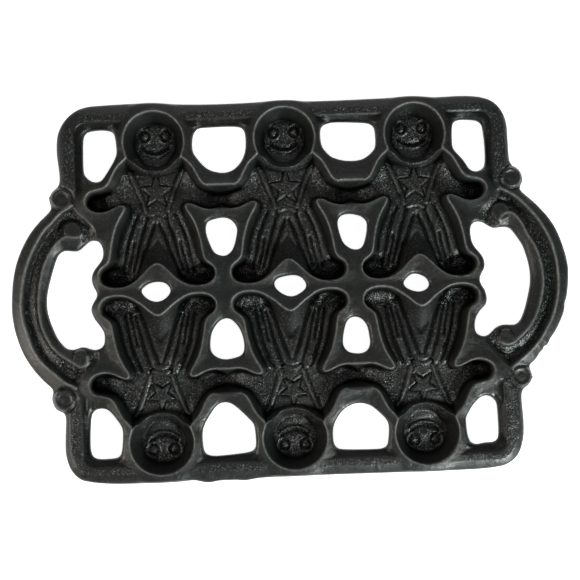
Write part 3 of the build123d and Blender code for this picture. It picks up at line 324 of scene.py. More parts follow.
# lines of the relief in (u, v): distance from the axis and height above the feet
GROOVES = [
    [(11.4, 45.5), (13.8, 40.5), (15.8, 35.6), (17.6, 30.2), (18.9, 25.0), (19.8, 20.0), (20.8, 14.6), (21.8, 9.6)],
    [(14.4, 28.0), (15.3, 22.4), (16.5, 17.0), (17.6, 12.0), (18.4, 8.4)],
    [(5.5, 44.6), (7.1, 39.4), (8.6, 35.0), (10.3, 30.0), (11.6, 25.0), (12.7, 19.9), (13.9, 14.8), (15.0, 10.4)],
    [(1.3, 39.6), (2.7, 36.2), (4.1, 32.6), (5.7, 28.0), (7.1, 23.0), (8.8, 17.8), (10.5, 13.2), (11.9, 9.8)],
]
BRACES = [
    ([(-17.4, 75.2), (-15.0, 69.6), (-12.4, 63.6), (-10.4, 58.2), (-8.2, 52.2), (-6.8, 47.0)], 1.0, 1.1),
]
STAR = [(0.0, 70.6), (2.3, 62.9), (9.6, 62.2), (3.9, 57.4), (6.0, 51.0), (0.0, 54.6), (-6.0, 51.0), (-3.9, 57.4), (-9.6, 62.2), (-2.3, 62.9)]
RELIEF_LIFT = {"back": 0.0, "front": 2.2}


def ridge(d, half, height):
    """Round-topped line of that half width."""
    t = np.clip(1.0 - (d / half) ** 2, 0.0, 1.0)
    return height * t * (2.0 - t) * 0.5 * (1 + t) ** 0.5 * 1.15


def figure(cx, row):
    """Height of one cup's inside and masks of its surfaces, on its part of the grid."""
    lo_y, hi_y = (-9.0, 119.5) if row == "back" else (-119.5, 9.0)
    i0, i1 = np.searchsorted(X1, cx - 56.0), np.searchsorted(X1, cx + 56.0)
    j0, j1 = np.searchsorted(Y1, lo_y), np.searchsorted(Y1, hi_y)
    xs, ys = X1[i0:i1], Y1[j0:j1]
    rim = figure_outline(0, row, cx)
    low = figure_outline(1, row, cx)
    dr = signed(rim, 24.0, xs, ys)
    df = signed(low, 14.0, xs, ys)
    u = np.repeat((xs - cx)[:, None], len(ys), 1)
    v = np.repeat(((ys - BACK_FOOT) if row == "back" else (FRONT_FOOT - ys))[None, :], len(xs), 0)
    w = v - RELIEF_LIFT[row]
    hv = HEAD_V + (0.9 if row == "front" else 0.0)
    au = np.abs(u)

    # floor levels: head, shoulders, chest, arms, hands, legs, feet
    keys_v = np.array([0.0, 5.0, 10.0, 18.0, 30.0, 44.0, 52.0, 62.0, 71.0, 75.0, 80.0, 120.0])
    keys_z = np.array([5.4, 6.2, 7.4, 8.4, 8.8, 8.5, 8.2, 8.4, 8.2, 6.8, 5.3, 5.0])
    floor = np.interp(w, keys_v, keys_z)
    toe = np.hypot((au - 27.5) / 8.5, (v - 7.5) / 7.0)
    floor = floor - (2.9 if row == "back" else 1.2) * step((1.35 - toe) / 0.9)
    if row == "front":
        # the toes slope up towards the middle of the pan
        floor = floor + 5.0 * step((10.5 - v) / 9.5) * step((au - 14.0) / 5.0)
    arm = step((au - 16.0) / 12.0) * step((w - 44.0) / 4.0) * step((79.0 - w) / 5.0)
    floor = floor + arm * np.interp(au, [16.0, 24.0, 31.0, 35.0, 44.0], [0.0, 0.2, -1.6, -3.2, -3.4])
    # the upper side of an arm slopes up towards its shoulder
    floor = floor + 2.2 * step((w - 60.0) / 12.0) * step((au - 15.0) / 5.0) * step((34.0 - au) / 8.0)
    # rounded belly and thighs
    floor = floor + 0.9 * step((w - 40.0) / 10.0) * step((72.0 - w) / 6.0) * np.clip(1 - (u / 16.0) ** 2, 0, 1)
    # face: cushion that stands above the trench round it
    rh = np.hypot(u, v - hv)
    disc = np.hypot(u / 12.9, (v - hv) / 13.8)
    floor = floor + (0.25 * step((1.10 - disc) / 0.35) + 1.1 * np.clip(1 - disc ** 2, 0, 1)) * step((w - 74.0) / 4.0)
    head = step((v - hv + 12.0) / 5.0)

    relief = np.zeros_like(floor)
    # grooves of the trousers, with round folds between them
    legs = step((w - 5.0) / 5.0) * step((47.0 - w) / 2.5)
    fold = np.full_like(floor, 9.0)
    for pts in GROOVES:
        for s in (-1, 1):
            c = curve([(s * a, b) for a, b in pts], False)
            if row == "back":
                q = np.stack([c[:, 0] + cx, c[:, 1] + BACK_FOOT], 1)
            else:
                q = np.stack([c[:, 0] + cx, FRONT_FOOT - (c[:, 1] + RELIEF_LIFT["front"])], 1)
            fold = np.minimum(fold, line_field(q, 9.0, False, xs, ys))
    relief += legs * (1.9 * np.sqrt(np.clip(1.0 - np.clip(1.0 - fold / 2.2, 0.0, 1.0) ** 2, 0.0, 1.0)) - 0.9)
    # dark is the groove profile and also the mask of painted shade in the grooves
    dark = legs * np.exp(-((fold / 0.95) ** 2))
    relief += legs * (1 - dark) * 0.09 * grain(31, 0.8, 2.4, floor.shape)
    relief -= 2.6 * dark

    def place(pts, closed=False, soft=0):
        q = np.array([((cx + a), BACK_FOOT + b) if row == "back" else ((cx + a), FRONT_FOOT - (b + RELIEF_LIFT["front"])) for a, b in pts])
        q = curve(q, closed) if soft else q
        return q

    for pts, half, height in BRACES:
        for s in (1, -1):
            d = line_field(place([(s * a, b) for a, b in pts], soft=1), 6.0, False, xs, ys)
            side = np.exp(-(((d - half - 0.75) / 0.6) ** 2)) * step((76.5 - w) / 2.0) * step((w - 46.0) / 2.0)
            relief = np.maximum(relief, ridge(d, half + 0.3, height)) - 1.3 * side
            # painted shade in the grooves beside the braces
            dark = np.maximum(dark, 0.9 * side)
    # belt, with a groove beside it that holds painted shade
    belt = line_field(place([(-5.0, 44.8), (-2.5, 45.9), (0.0, 46.2), (2.5, 45.9), (5.0, 44.8)], soft=1), 6.0, False, xs, ys)
    cut = np.exp(-(((belt - 1.7) / 0.6) ** 2)) * (w < 46.5)
    relief = np.maximum(relief, ridge(belt, 1.2, 1.2)) - 0.9 * cut
    dark = np.maximum(dark, 0.6 * cut)
    # star: flat-topped, with a groove round it that holds painted shade
    size = 1.0 if row == "back" else 0.84
    star = signed(place([(size * a, 60.5 + size * (b - 60.5)) for a, b in STAR], True), 5.0, xs, ys)
    cut = np.exp(-(((star + 0.6) / 0.55) ** 2)) * step((72.5 - w) / 2.0)
    relief = relief + 0.75 * step((star + 0.4) / 1.0) - 0.9 * cut
    dark = np.maximum(dark, 0.75 * cut)
    # eyes: oval groove with a bead in it and a rim round it; painted shade in the groove
    for k in (-1, 1):
        e = np.hypot((u - k * 6.7) / 0.92, v - 95.0)
        relief = relief + 0.9 * np.exp(-(((e - 4.7) / 0.7) ** 2)) - 1.9 * np.exp(-(((e - 3.1) / 0.75) ** 2)) + 0.6 * np.exp(-((e / 1.7) ** 2))
        dark = np.maximum(dark, 0.9 * np.exp(-(((e - 3.1) / 0.7) ** 2)))
    # mouth: dark line over a full lower lip; the line is a cut with painted shade in it
    bend = 0.042 * u * u
    ends = step((9.9 - au) / 1.4)
    cut = ends * np.exp(-(((w - 84.4 - bend) / 1.35) ** 2))
    relief = relief - 2.4 * cut
    dark = np.maximum(dark, cut)
    relief = relief + 1.5 * ends * np.exp(-(((w - 82.0 - 1.05 * bend) / 1.1) ** 2))
    relief = relief - 0.5 * step((8.0 - au) / 2.5) * np.exp(-(((w - 80.3 - 1.05 * bend) / 0.6) ** 2))
    # nose
    relief = relief + 0.5 * np.exp(-((u / 1.8) ** 2) - ((v - 91.6) / 1.6) ** 2)

    depth = (RIM_Z - floor) / np.maximum(dr + np.maximum(-df, 0.0), 0.6)
    wall = np.where(dr > 0, RIM_Z - depth * dr, RIM_Z + 2.2 * (-dr))
    wall = np.where(df > 0, floor - 2.2 * df, wall)
    # ramp between the legs, from the edge down to the folds
    even = dr + (blur(dr, 3.0) - dr) * step(dr / 3.5)
    t = np.clip(even / (5.0 + 8.0 * np.exp(-((u / 10.0) ** 2))), 0.0, 2.0)
    slope = RIM_Z - (RIM_Z - floor) * t ** 0.9
    mix = step((16.0 - au) / 9.0) * step((41.0 - v) / 6.0) * (dr > 0)
    wall = wall * (1 - mix) + slope * mix
    soft = step((df + 1.0) / 2.0)
    arm_soft = step((au - 22.0) / 8.0) * step((w - 44.0) / 4.0)
    cup = smax(wall, floor + relief * soft, 1.0 + 1.6 * arm_soft)
    # head: round bowl, closed towards the chest by the neckline
    phi = np.arctan2(au, hv - v)
    top_h = 12.9 + (RIM_Z - 12.9) * step((phi - 0.38) / 0.62)
    m = step((phi - 0.8) / 0.4)
    radius = 18.1 * (1 - m) + (rh + dr) * m
    up = np.clip((rh - 12.4) / np.maximum(radius - 12.4, 0.5), 0.0, 1.0)
    bowl = 5.4 + (top_h - 5.4) * up ** 1.18
    bowl = smax(bowl, floor + relief, 1.3)
    collar = top_h - 2.4 * (rh - radius)
    upper = (v > hv) | (rh < radius)
    near_head = (rh < 21.5) & (v > 66.0)
    cup = np.where(near_head & upper & (dr > 0), bowl, np.where(near_head & (dr > 0), smax(cup, collar, 0.5), cup))
    cup = np.where(dr > -1.0, np.minimum(cup, RIM_Z + 4.0), cup)
    rough = step((df + 0.3) / 1.2)
    # the last value is the mask of painted shade in the grooves and cuts
    return (slice(i0, i1), slice(j0, j1)), cup, dr, df, rough, u, w, dark * (cup < floor + 0.3)


def build_maps():
    """Height maps of the top and of the underside, distance to the free edges, and surface masks."""
    sil = soften(curve(SILHOUETTE), 2)
    e = signed(sil, 16.0)
    wins = {k: soften(curve(p), 2) for k, p in WINDOWS.items()}
    w_all = np.full(XX.shape, 16.0)
    w_grip = np.full(XX.shape, 16.0)
    for k, p in wins.items():
        d = -signed(p, 16.0)
        w_all = np.minimum(w_all, d)
        if k.startswith("handle"):
            w_grip = np.minimum(w_grip, d)

    # rail: distance inwards from its middle line
    c = np.full(XX.shape, 40.0)
    corner = 11.0
    for sy, xl, xr in ((1, -133.6, 130.4), (-1, -133.0, 131.1)):
        yy = YY * sy
        mid_x = 0.5 * (xl + xr)
        hx = 0.5 * (xr - xl)
        qx = np.abs(XX - mid_x) - (hx - corner)
        qy = yy - (108.2 - corner)
        box = np.where((qx > 0) & (qy > 0), np.hypot(qx, qy), np.maximum(qx, qy)) - corner
        here = yy > (60.0 if sy > 0 else 61.0)
        c = np.where(here, -box, c)
    side = step((np.abs(XX) - 112.0) / 10.0) * step((103.0 - np.abs(YY)) / 10.0)
    a = np.abs(c)
    lean = 0.5 * (1 - side)
    crown_half = 1.9 + 1.7 * side
    cc = c - lean
    rail = np.where(cc < 0, CROWN_Z - 2.9 * np.clip((-cc - crown_half) / (8.7 - crown_half), 0, 1.2) ** 1.15,
                    CROWN_Z - 5.4 * np.clip((cc - crown_half) / (7.1 - crown_half), 0, 1.2) ** 1.25)
    rail = np.where(a < 9.5, rail, 0.0)
    rail_zone = step((9.0 - a) / 1.6)

    # webs, lower beside the windows of the rails
    web = WEB_Z - 1.6 * step((4.2 - w_all) / 4.2) * step((12.0 - c) / 3.0) * (c < 12.0)
    web = web - 0.5 * step((1.6 - w_all) / 1.6)
    top = np.where(a < 7.6, np.maximum(rail, np.where(c > 0, smax(rail, web - 0.6 * step((7.6 - a) / 2.0), 0.4), rail)), web)
    top = np.where(c < -2.0, np.minimum(top, rail), top)

    # handles
    grip = np.full(XX.shape, -16.0)
    for pts, sx in ((LEFT_INSIDE, -1), (RIGHT_INSIDE, 1)):
        ring = [(sx * 178.0, pts[0][1] - 4.0)] + list(pts) + [(sx * 178.0, pts[-1][1] + 4.0)]
        d = signed(soften(curve(ring, True, 1.5), 2), 16.0)
        grip = np.maximum(grip, d)
    d_out = np.full(XX.shape, 16.0)
    d_in = np.full(XX.shape, 16.0)
    band = np.zeros(XX.shape, bool)
    strip = np.zeros(XX.shape, bool)
    bulb_mask = np.zeros(XX.shape)
    discs = np.zeros(XX.shape)
    for name, sx in (("left", -1), ("right", 1)):
        here = XX * sx > 0
        crest = curve(OUTER_CREST[name], False)
        d_out = np.minimum(d_out, line_field(crest, 16.0, False))
        ring = np.vstack([crest, [(sx * 100.0, crest[-1][1]), (sx * 100.0, crest[0][1])]])
        band |= here & ~inside(ring)
        crest = curve(INNER_CREST[name], False)
        d_in = np.minimum(d_in, line_field(crest, 16.0, False))
        strip |= here & inside(crest)
        for bx, by, br in BULBS[name]:
            r = np.hypot(XX - bx, YY - by)
            discs = np.maximum(discs, 17.0 - 3.2 * step((r - br + 0.8) / 2.4) - 20.0 * (r > br + 1.6))
            bulb_mask = np.maximum(bulb_mask, step((br + 0.5 - r) / 1.5))
    d_moat = np.full(XX.shape, 16.0)
    for pts in MOATS:
        d_moat = np.minimum(d_moat, line_field(curve(pts, False), 6.0, False))
    channel = CHANNEL_Z + 0.1 + 1.7 * step((d_out - 3.0) / 7.0)
    channel = channel + (WEB_Z - channel) * step((4.6 - grip) / 4.6)
    channel = channel - 1.3 * np.exp(-((d_moat / 1.5) ** 2)) * step((grip + 0.5) / 3.0)
    handle = smax(channel, LIP_Z - 1.7 * np.maximum(d_out - 0.3, 0.0), 0.8)
    handle = smax(handle, LIP_Z - 0.6 - 1.1 * np.maximum(d_in - 0.3, 0.0), 0.7)
    handle = smax(handle, discs, 0.4)
    t = np.clip(e / np.maximum(e + d_out, 0.1), 0.0, 1.0)
    outer = 14.9 + (LIP_Z - 14.9) * t ** 0.85
    handle = np.where(band, outer, handle)
    t = np.clip(w_grip / np.maximum(w_grip + d_in, 0.1), 0.0, 1.0)
    inner = 14.6 + (LIP_Z - 0.6 - 14.6) * t ** 0.8
    handle = np.where(strip & (w_grip < 9.0), np.maximum(inner, discs - 1.2 * step((2.6 - w_grip) / 2.6)), handle)
    reach_in = 1.0
    grip_zone = grip > 0.0
    top = np.where(grip_zone, handle, top)
    # the outer lip runs out into the web beside the boss
    top = np.where(~grip_zone & (d_out < 4.0), smax(top, LIP_Z - 0.4 - 1.3 * d_out, 0.5), top)

    # bosses
    boss_mask = np.zeros(XX.shape)
    for bx, by, br in BOSSES.values():
        r = np.hypot(XX - bx, YY - by)
        z = 17.3 + 0.75 * np.exp(-(((r - 5.0) / 1.1) ** 2)) + 0.35 * np.exp(-((r / 2.2) ** 2)) - 3.2 * step((r - 5.6) / (br - 4.6))
        blend = step((br + 1.0 - r) / 1.6) * (d_out > 1.2)
        top = top * (1 - blend) + np.maximum(z, top - 1.6 * step((br - r) / 3.0)) * blend
        boss_mask = np.maximum(boss_mask, blend)

    # land round every figure, then the cavities
    d_rim = np.full(XX.shape, -14.0)
    d_floor = np.full(XX.shape, -14.0)
    cups = np.full(XX.shape, 99.0)
    uu = np.full(XX.shape, 99.0)
    vv = np.full(XX.shape, 99.0)
    groove_shade = np.zeros(XX.shape)
    for name, (cx, row) in CUPS.items():
        window, cup, dr, df, rough, u, w, dark = figure(cx, row)
        # painted shade of the relief grooves, gathered over all cups
        groove_shade[window] = np.maximum(groove_shade[window], dark)
        closer = dr > d_rim[window]
        uu[window] = np.where(closer, u, uu[window])
        vv[window] = np.where(closer, w, vv[window])
        d_rim[window] = np.maximum(d_rim[window], dr)
        d_floor[window] = np.maximum(d_floor[window], df)
        cups[window] = np.minimum(cups[window], cup)
    q = -d_rim
    # troughs between neighbouring hands
    for joint in (GRID_X - PITCH / 2, GRID_X + PITCH / 2):
        for row in ("back", "front"):
            v = (YY - BACK_FOOT) if row == "back" else (FRONT_FOOT - YY)
            x = np.abs(XX - joint)
            far = np.maximum(x - 6.0, 0.0)
            side_z = 5.4 + 0.02 * x ** 2 + 2.65 * (np.sqrt(np.maximum(np.abs(v - 54.1) - 2.0, 0.0) ** 2 + 1.2) - 1.1) + 0.3 * far ** 2
            near = x < 15.0
            cups = np.where(near & (np.abs(v - 53.2) < 9.0), smin(cups, side_z, 0.9), cups)
            q = np.where(near & (np.abs(v - 54.1) < 9.5), np.minimum(q, np.abs(v - 54.1) - 7.4 + 0.06 * far ** 2), q)
    rise = RIM_Z - 0.1 - 0.35 * step(q / 2.6)
    land = rise - 0.55 * step((q - 1.2) / 4.4) - 0.7 * np.maximum(q - 5.4, 0.0)
    land = land + (blur(land, 1.4) - land) * step((q - 0.7) / 1.4)
    room = step(np.minimum(w_all, e) / 1.6)
    land = land - 1.2 * (1 - room)
    top = np.where(q < 9.0, smax(top, land, 0.45), top)
    top = np.where(q < 3.0, np.maximum(top, land), top)
    h = smin(top, cups, 0.3)

    masks = {
        # rim and lip mark the worn edges that are also painted with a bright highlight line
        "rim": np.exp(-(((q - 0.05) / 0.36) ** 2)),
        "land": step((q + 0.3) / 0.8) * step((5.2 - q) / 1.2),
        "wall": step((d_rim - 0.4) / 0.8) * step((0.4 - d_floor) / 1.2),
        "floor": step((d_floor + 0.3) / 1.2),
        "crown": step((crown_half + 1.0 - np.abs(cc)) / 1.8) * step((q - 4.0) / 1.5) * (~grip_zone),
        "channel": step((grip - 1.5) / 2.0) * step((d_out - 1.0) / 1.2) * step((d_in - 0.6) / 1.0) * (~band) * (~strip) * (1 - bulb_mask),
        "lip": np.where(grip_zone, np.maximum(np.exp(-((d_out / 0.7) ** 2)), 0.8 * np.exp(-((d_in / 0.7) ** 2))), 0.0),
        # fold holds the painted shade of the relief grooves
        "fold": groove_shade, "u": uu, "v": vv, "q": q, "e": e, "w": w_all, "grip": grip, "c": c, "df": d_floor, "boss": boss_mask, "bulb": bulb_mask,
    }
    # underside
    rise_b = np.where(d_floor > -1.2, 0.0, 0.0)
    out = -d_floor
    rise_b = 3.2 * step((out - 0.6) / 3.2) + 9.0 * step((out - 3.4) / 5.4)
    base = np.where(rail_zone > 0.5, RAIL_BOTTOM, WEB_BOTTOM)
    base = WEB_BOTTOM - (WEB_BOTTOM - RAIL_BOTTOM) * np.maximum(step((8.8 - a) / 1.6) * (a < 9.0), step((grip - 0.0) / 2.0))
    b = np.minimum(rise_b, base)
    b = smin(rise_b + 0.0, base, 0.8)
    b = np.where(out < 0.6, 0.0, np.maximum(b, 0.0))
    b = np.minimum(b, h - 3.3)
    b = np.maximum(b, 0.0)
    d = np.minimum(e, w_all)
    return h, b, d, masks


def coarse_noise(h, masks):
    """As-cast unevenness of the top."""
    rough = np.clip(masks["floor"] * 0.9 + masks["crown"] + masks["channel"] * 0.8, 0, 1)
    n = 0.055 * grain(11, 0.9, 2.2) * (0.35 + 0.65 * rough) + 0.035 * grain(12, 6.0, 18.0)
    return h + n, rough


def surface(h, b, d):
    """Closed quad mesh of the casting: vertices in mm and quads."""
    zs = np.arange(-1.25, 20.3, STEP)
    nx, ny, nz = h.shape[0], h.shape[1], len(zs)
    dd = np.clip(d + 0.38, -3.0, 6.0)
    k = 1.5
    F = np.empty((nx, ny, nz), np.float32)
    side = (-dd).astype(np.float32)
    for i, z in enumerate(zs):
        up = (z - h).astype(np.float32)
        down = (b - z).astype(np.float32)
        a = smax(up, side, k) - 0.0
        F[:, :, i] = smax(a, smax(down, side, 1.2), 0.6)
    F[0], F[-1], F[:, 0], F[:, -1], F[:, :, 0], F[:, :, -1] = 5, 5, 5, 5, 5, 5
    neg = F < 0
    ids, pos, quads = [], [], []
    cell = lambda i, j, m: (i.astype(np.int64) * ny + j) * nz + m
    faces = []
    for axis in range(3):
        lo = [slice(None)] * 3
        hi = [slice(None)] * 3
        lo[axis], hi[axis] = slice(None, -1), slice(1, None)
        lo, hi = tuple(lo), tuple(hi)
        change = neg[lo] != neg[hi]
        i, j, m = np.nonzero(change)
        f0 = F[lo][i, j, m]
        f1 = F[hi][i, j, m]
        t = f0 / (f0 - f1)
        p = np.stack([i, j, m], 1).astype(np.float64)
        p[:, axis] += t
        o1, o2 = [(1, 2), (2, 0), (0, 1)][axis]
        cells = []
        for s1, s2 in ((-1, -1), (0, -1), (0, 0), (-1, 0)):
            q = [i, j, m]
            q[o1] = q[o1] + s1
            q[o2] = q[o2] + s2
            cells.append(cell(*q))
        c4 = np.stack(cells, 1)
        out = f0 < 0
        c4[~out] = c4[~out][:, ::-1]
        faces.append(c4)
        pos.append(np.repeat(p, 4, 0))
    allc = np.concatenate([c.reshape(-1) for c in faces])
    allp = np.concatenate(pos)
    # the points of every crossing belong to its four cells, in the same order
    order = []
    keys, inv = np.unique(allc, return_inverse=True)
    cnt = np.bincount(inv, minlength=len(keys)).astype(float)
    vert = np.stack([np.bincount(inv, allp[:, a], len(keys)) / cnt for a in range(3)], 1)
    quads = inv.reshape(-1, 4)
    vert[:, 0] = X1[0] + vert[:, 0] * STEP
    vert[:, 1] = Y1[0] + vert[:, 1] * STEP
    vert[:, 2] = zs[0] + vert[:, 2] * STEP
    return vert, quads


def sample(field, x, y):
    """Value of a map at points, between its grid points."""
    i = np.clip((x - X1[0]) / STEP, 0, field.shape[0] - 1.001)
    j = np.clip((y - Y1[0]) / STEP, 0, field.shape[1] - 1.001)
    i0, j0 = i.astype(int), j.astype(int)
    a, b = i - i0, j - j0
    return (field[i0, j0] * (1 - a) * (1 - b) + field[i0 + 1, j0] * a * (1 - b)
            + field[i0, j0 + 1] * (1 - a) * b + field[i0 + 1, j0 + 1] * a * b)


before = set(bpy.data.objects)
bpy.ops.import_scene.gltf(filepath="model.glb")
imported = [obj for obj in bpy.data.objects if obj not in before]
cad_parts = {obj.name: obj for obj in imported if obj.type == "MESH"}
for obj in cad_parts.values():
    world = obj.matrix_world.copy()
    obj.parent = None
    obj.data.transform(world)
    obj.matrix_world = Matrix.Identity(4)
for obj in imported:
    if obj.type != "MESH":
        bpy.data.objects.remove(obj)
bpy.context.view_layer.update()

height, under, edge, masks = build_maps()
smooth_height = np.where(edge > 0.0, height, 15.5)
# painted shade: darkening of small recesses and of the cut grooves, and a broader darkening down in the cups
hollow_shade = np.clip((blur(smooth_height, 1.5) - smooth_height - 0.12) / 0.75, 0.0, 1.0)
hollow_shade = np.maximum(0.85 * hollow_shade, 1.1 * masks["fold"])
sunk_shade = np.clip((blur(smooth_height, 5.0) - smooth_height - 1.0) / 5.0, 0.0, 1.0)
# raised edges, used for lighter worn edges
proud = np.clip((smooth_height - blur(smooth_height, 1.3) - 0.08) / 0.5, 0.0, 1.0)
height, rough_and_glint_map = coarse_noise(height, masks)
patches = np.clip(0.5 + 0.4 * grain(41, 9.0, 26.0), 0.0, 1.0)
au_map = np.abs(masks["u"])
# the grain map is raised on shoulders, arms, faces and feet; there it also places more painted glints
shoulder = step((masks["v"] - 56.0) / 8.0) * step((81.0 - masks["v"]) / 4.0) * step((au_map - 12.0) / 6.0)
arms = step((masks["v"] - 45.0) / 5.0) * step((81.0 - masks["v"]) / 4.0) * step((au_map - 13.0) / 6.0)
shoulder = np.maximum(shoulder, 0.8 * arms)
gloss_and_glint_zones = np.maximum(np.maximum(shoulder, 0.75 * step((masks["v"] - 80.0) / 4.0)), step((16.0 - masks["v"]) / 8.0))
rough_and_glint_map = rough_and_glint_map * np.where(masks["floor"] > 0.3, 0.30 + 0.70 * np.maximum(gloss_and_glint_zones, 0.55 * patches), 0.55 + 0.45 * patches)
ramps = step((14.0 - au_map) / 4.0) * step((40.0 - masks["v"]) / 6.0) * step((0.3 - masks["q"]) / 1.0)
rough_and_glint_map = np.maximum(rough_and_glint_map, 0.25 * ramps)
rough_and_glint_map = rough_and_glint_map * (1.0 - 0.45 * masks["crown"])
# painted shade on the inner slopes of the rails
inner_rail_shade = step((masks["c"] - 2.6) / 1.6) * step((8.4 - masks["c"]) / 1.2) * step((masks["q"] - 3.0) / 1.5) * (masks["grip"] <= 0)
verts, quads = surface(height, under, edge)

# normals of the whole surface, so that the seams between regions don't show
a, b_, c_, d_ = (verts[quads[:, n]] for n in range(4))
face_n = np.cross(c_ - a, d_ - b_)
vert_n = np.zeros_like(verts)
for n in range(4):
    for k in range(3):
        vert_n[:, k] += np.bincount(quads[:, n], face_n[:, k], len(verts))
vert_n /= np.maximum(np.linalg.norm(vert_n, axis=1, keepdims=True), 1e-9)

# which region of the casting each face belongs to
mid = verts[quads].mean(1)
mx, my = mid[:, 0], mid[:, 1]
col = np.where(mx < GRID_X - PITCH / 2, 0, np.where(mx < GRID_X + PITCH / 2, 1, 2))
row = np.where(my > 0.55, 0, 3)
NAMES = list(CUPS) + ["back_rail", "front_rail", "left_handle", "right_handle"] + list(BOSSES)
region = col + row
q_rim = sample(masks["q"], mx, my)
c_rail = sample(masks["c"], mx, my)
grip_in = sample(masks["grip"], mx, my)
region = np.where((np.abs(c_rail) < 7.7) & (q_rim > 4.3) & (my > 0), 6, region)
region = np.where((np.abs(c_rail) < 7.7) & (q_rim > 4.3) & (my < 0), 7, region)
region = np.where((c_rail < 0) & (q_rim > 4.3) & (my > 60), 6, region)
region = np.where((c_rail < 0) & (q_rim > 4.3) & (my < -61), 7, region)
region = np.where((grip_in > 0) & (q_rim > 4.3) & (mx < 0), 8, region)
region = np.where((grip_in > 0) & (q_rim > 4.3) & (mx > 0), 9, region)
for n, (bx, by, br) in enumerate(BOSSES.values()):
    region = np.where(np.hypot(mx - bx, my - by) < br, 10 + n, region)


def vertex_maps(v, n):
    """Per-vertex grain that also places painted glints, worn edges painted as a bright highlight line, painted shade,
    and raised edges with a painted crown sheen.
    """
    x, y, z = v.T
    up = np.clip(n[:, 2], 0, 1)
    top = np.clip((z - sample(under, x, y) - 1.5) / 1.5, 0, 1)
    # grain map, which also sets where glints are painted
    rough = sample(rough_and_glint_map, x, y) * top + (1 - top) * 0.2
    rim = sample(masks["rim"], x, y) * top
    lip = sample(masks["lip"], x, y) * top
    # worn rim edges and handle lips, also painted as a bright highlight line
    edge_wear_and_highlight = np.clip(np.maximum(rim, 0.8 * lip), 0, 1)
    # painted shade: near-black in small recesses and grooves, down in the cups, on the inner rail slopes and on the
    # ramps between the legs
    painted_shade = np.clip(sample(hollow_shade, x, y) + 0.28 * sample(sunk_shade, x, y) + 0.6 * sample(inner_rail_shade, x, y) + 0.5 * sample(ramps, x, y), 0, 1) * top
    beside = np.clip((sample(masks["q"], x, y) - 2.0) / 2.0, 0, 1)
    # painted shade on steep side walls away from the cup rims
    painted_shade = np.maximum(painted_shade, 0.85 * np.clip((0.62 - n[:, 2]) / 0.35, 0, 1) * beside)
    # painted shade on the underside
    painted_shade = np.maximum(painted_shade, 0.6 * (1 - top))
    # raised edges lighter as wear; the rail crowns lighter as a painted sheen
    raised_wear_and_crown_sheen = np.clip(sample(proud, x, y) + 0.3 * sample(masks["crown"], x, y), 0, 1) * top
    soft = sample(ramps, x, y) * top
    return rough, edge_wear_and_highlight, painted_shade, raised_wear_and_crown_sheen, soft


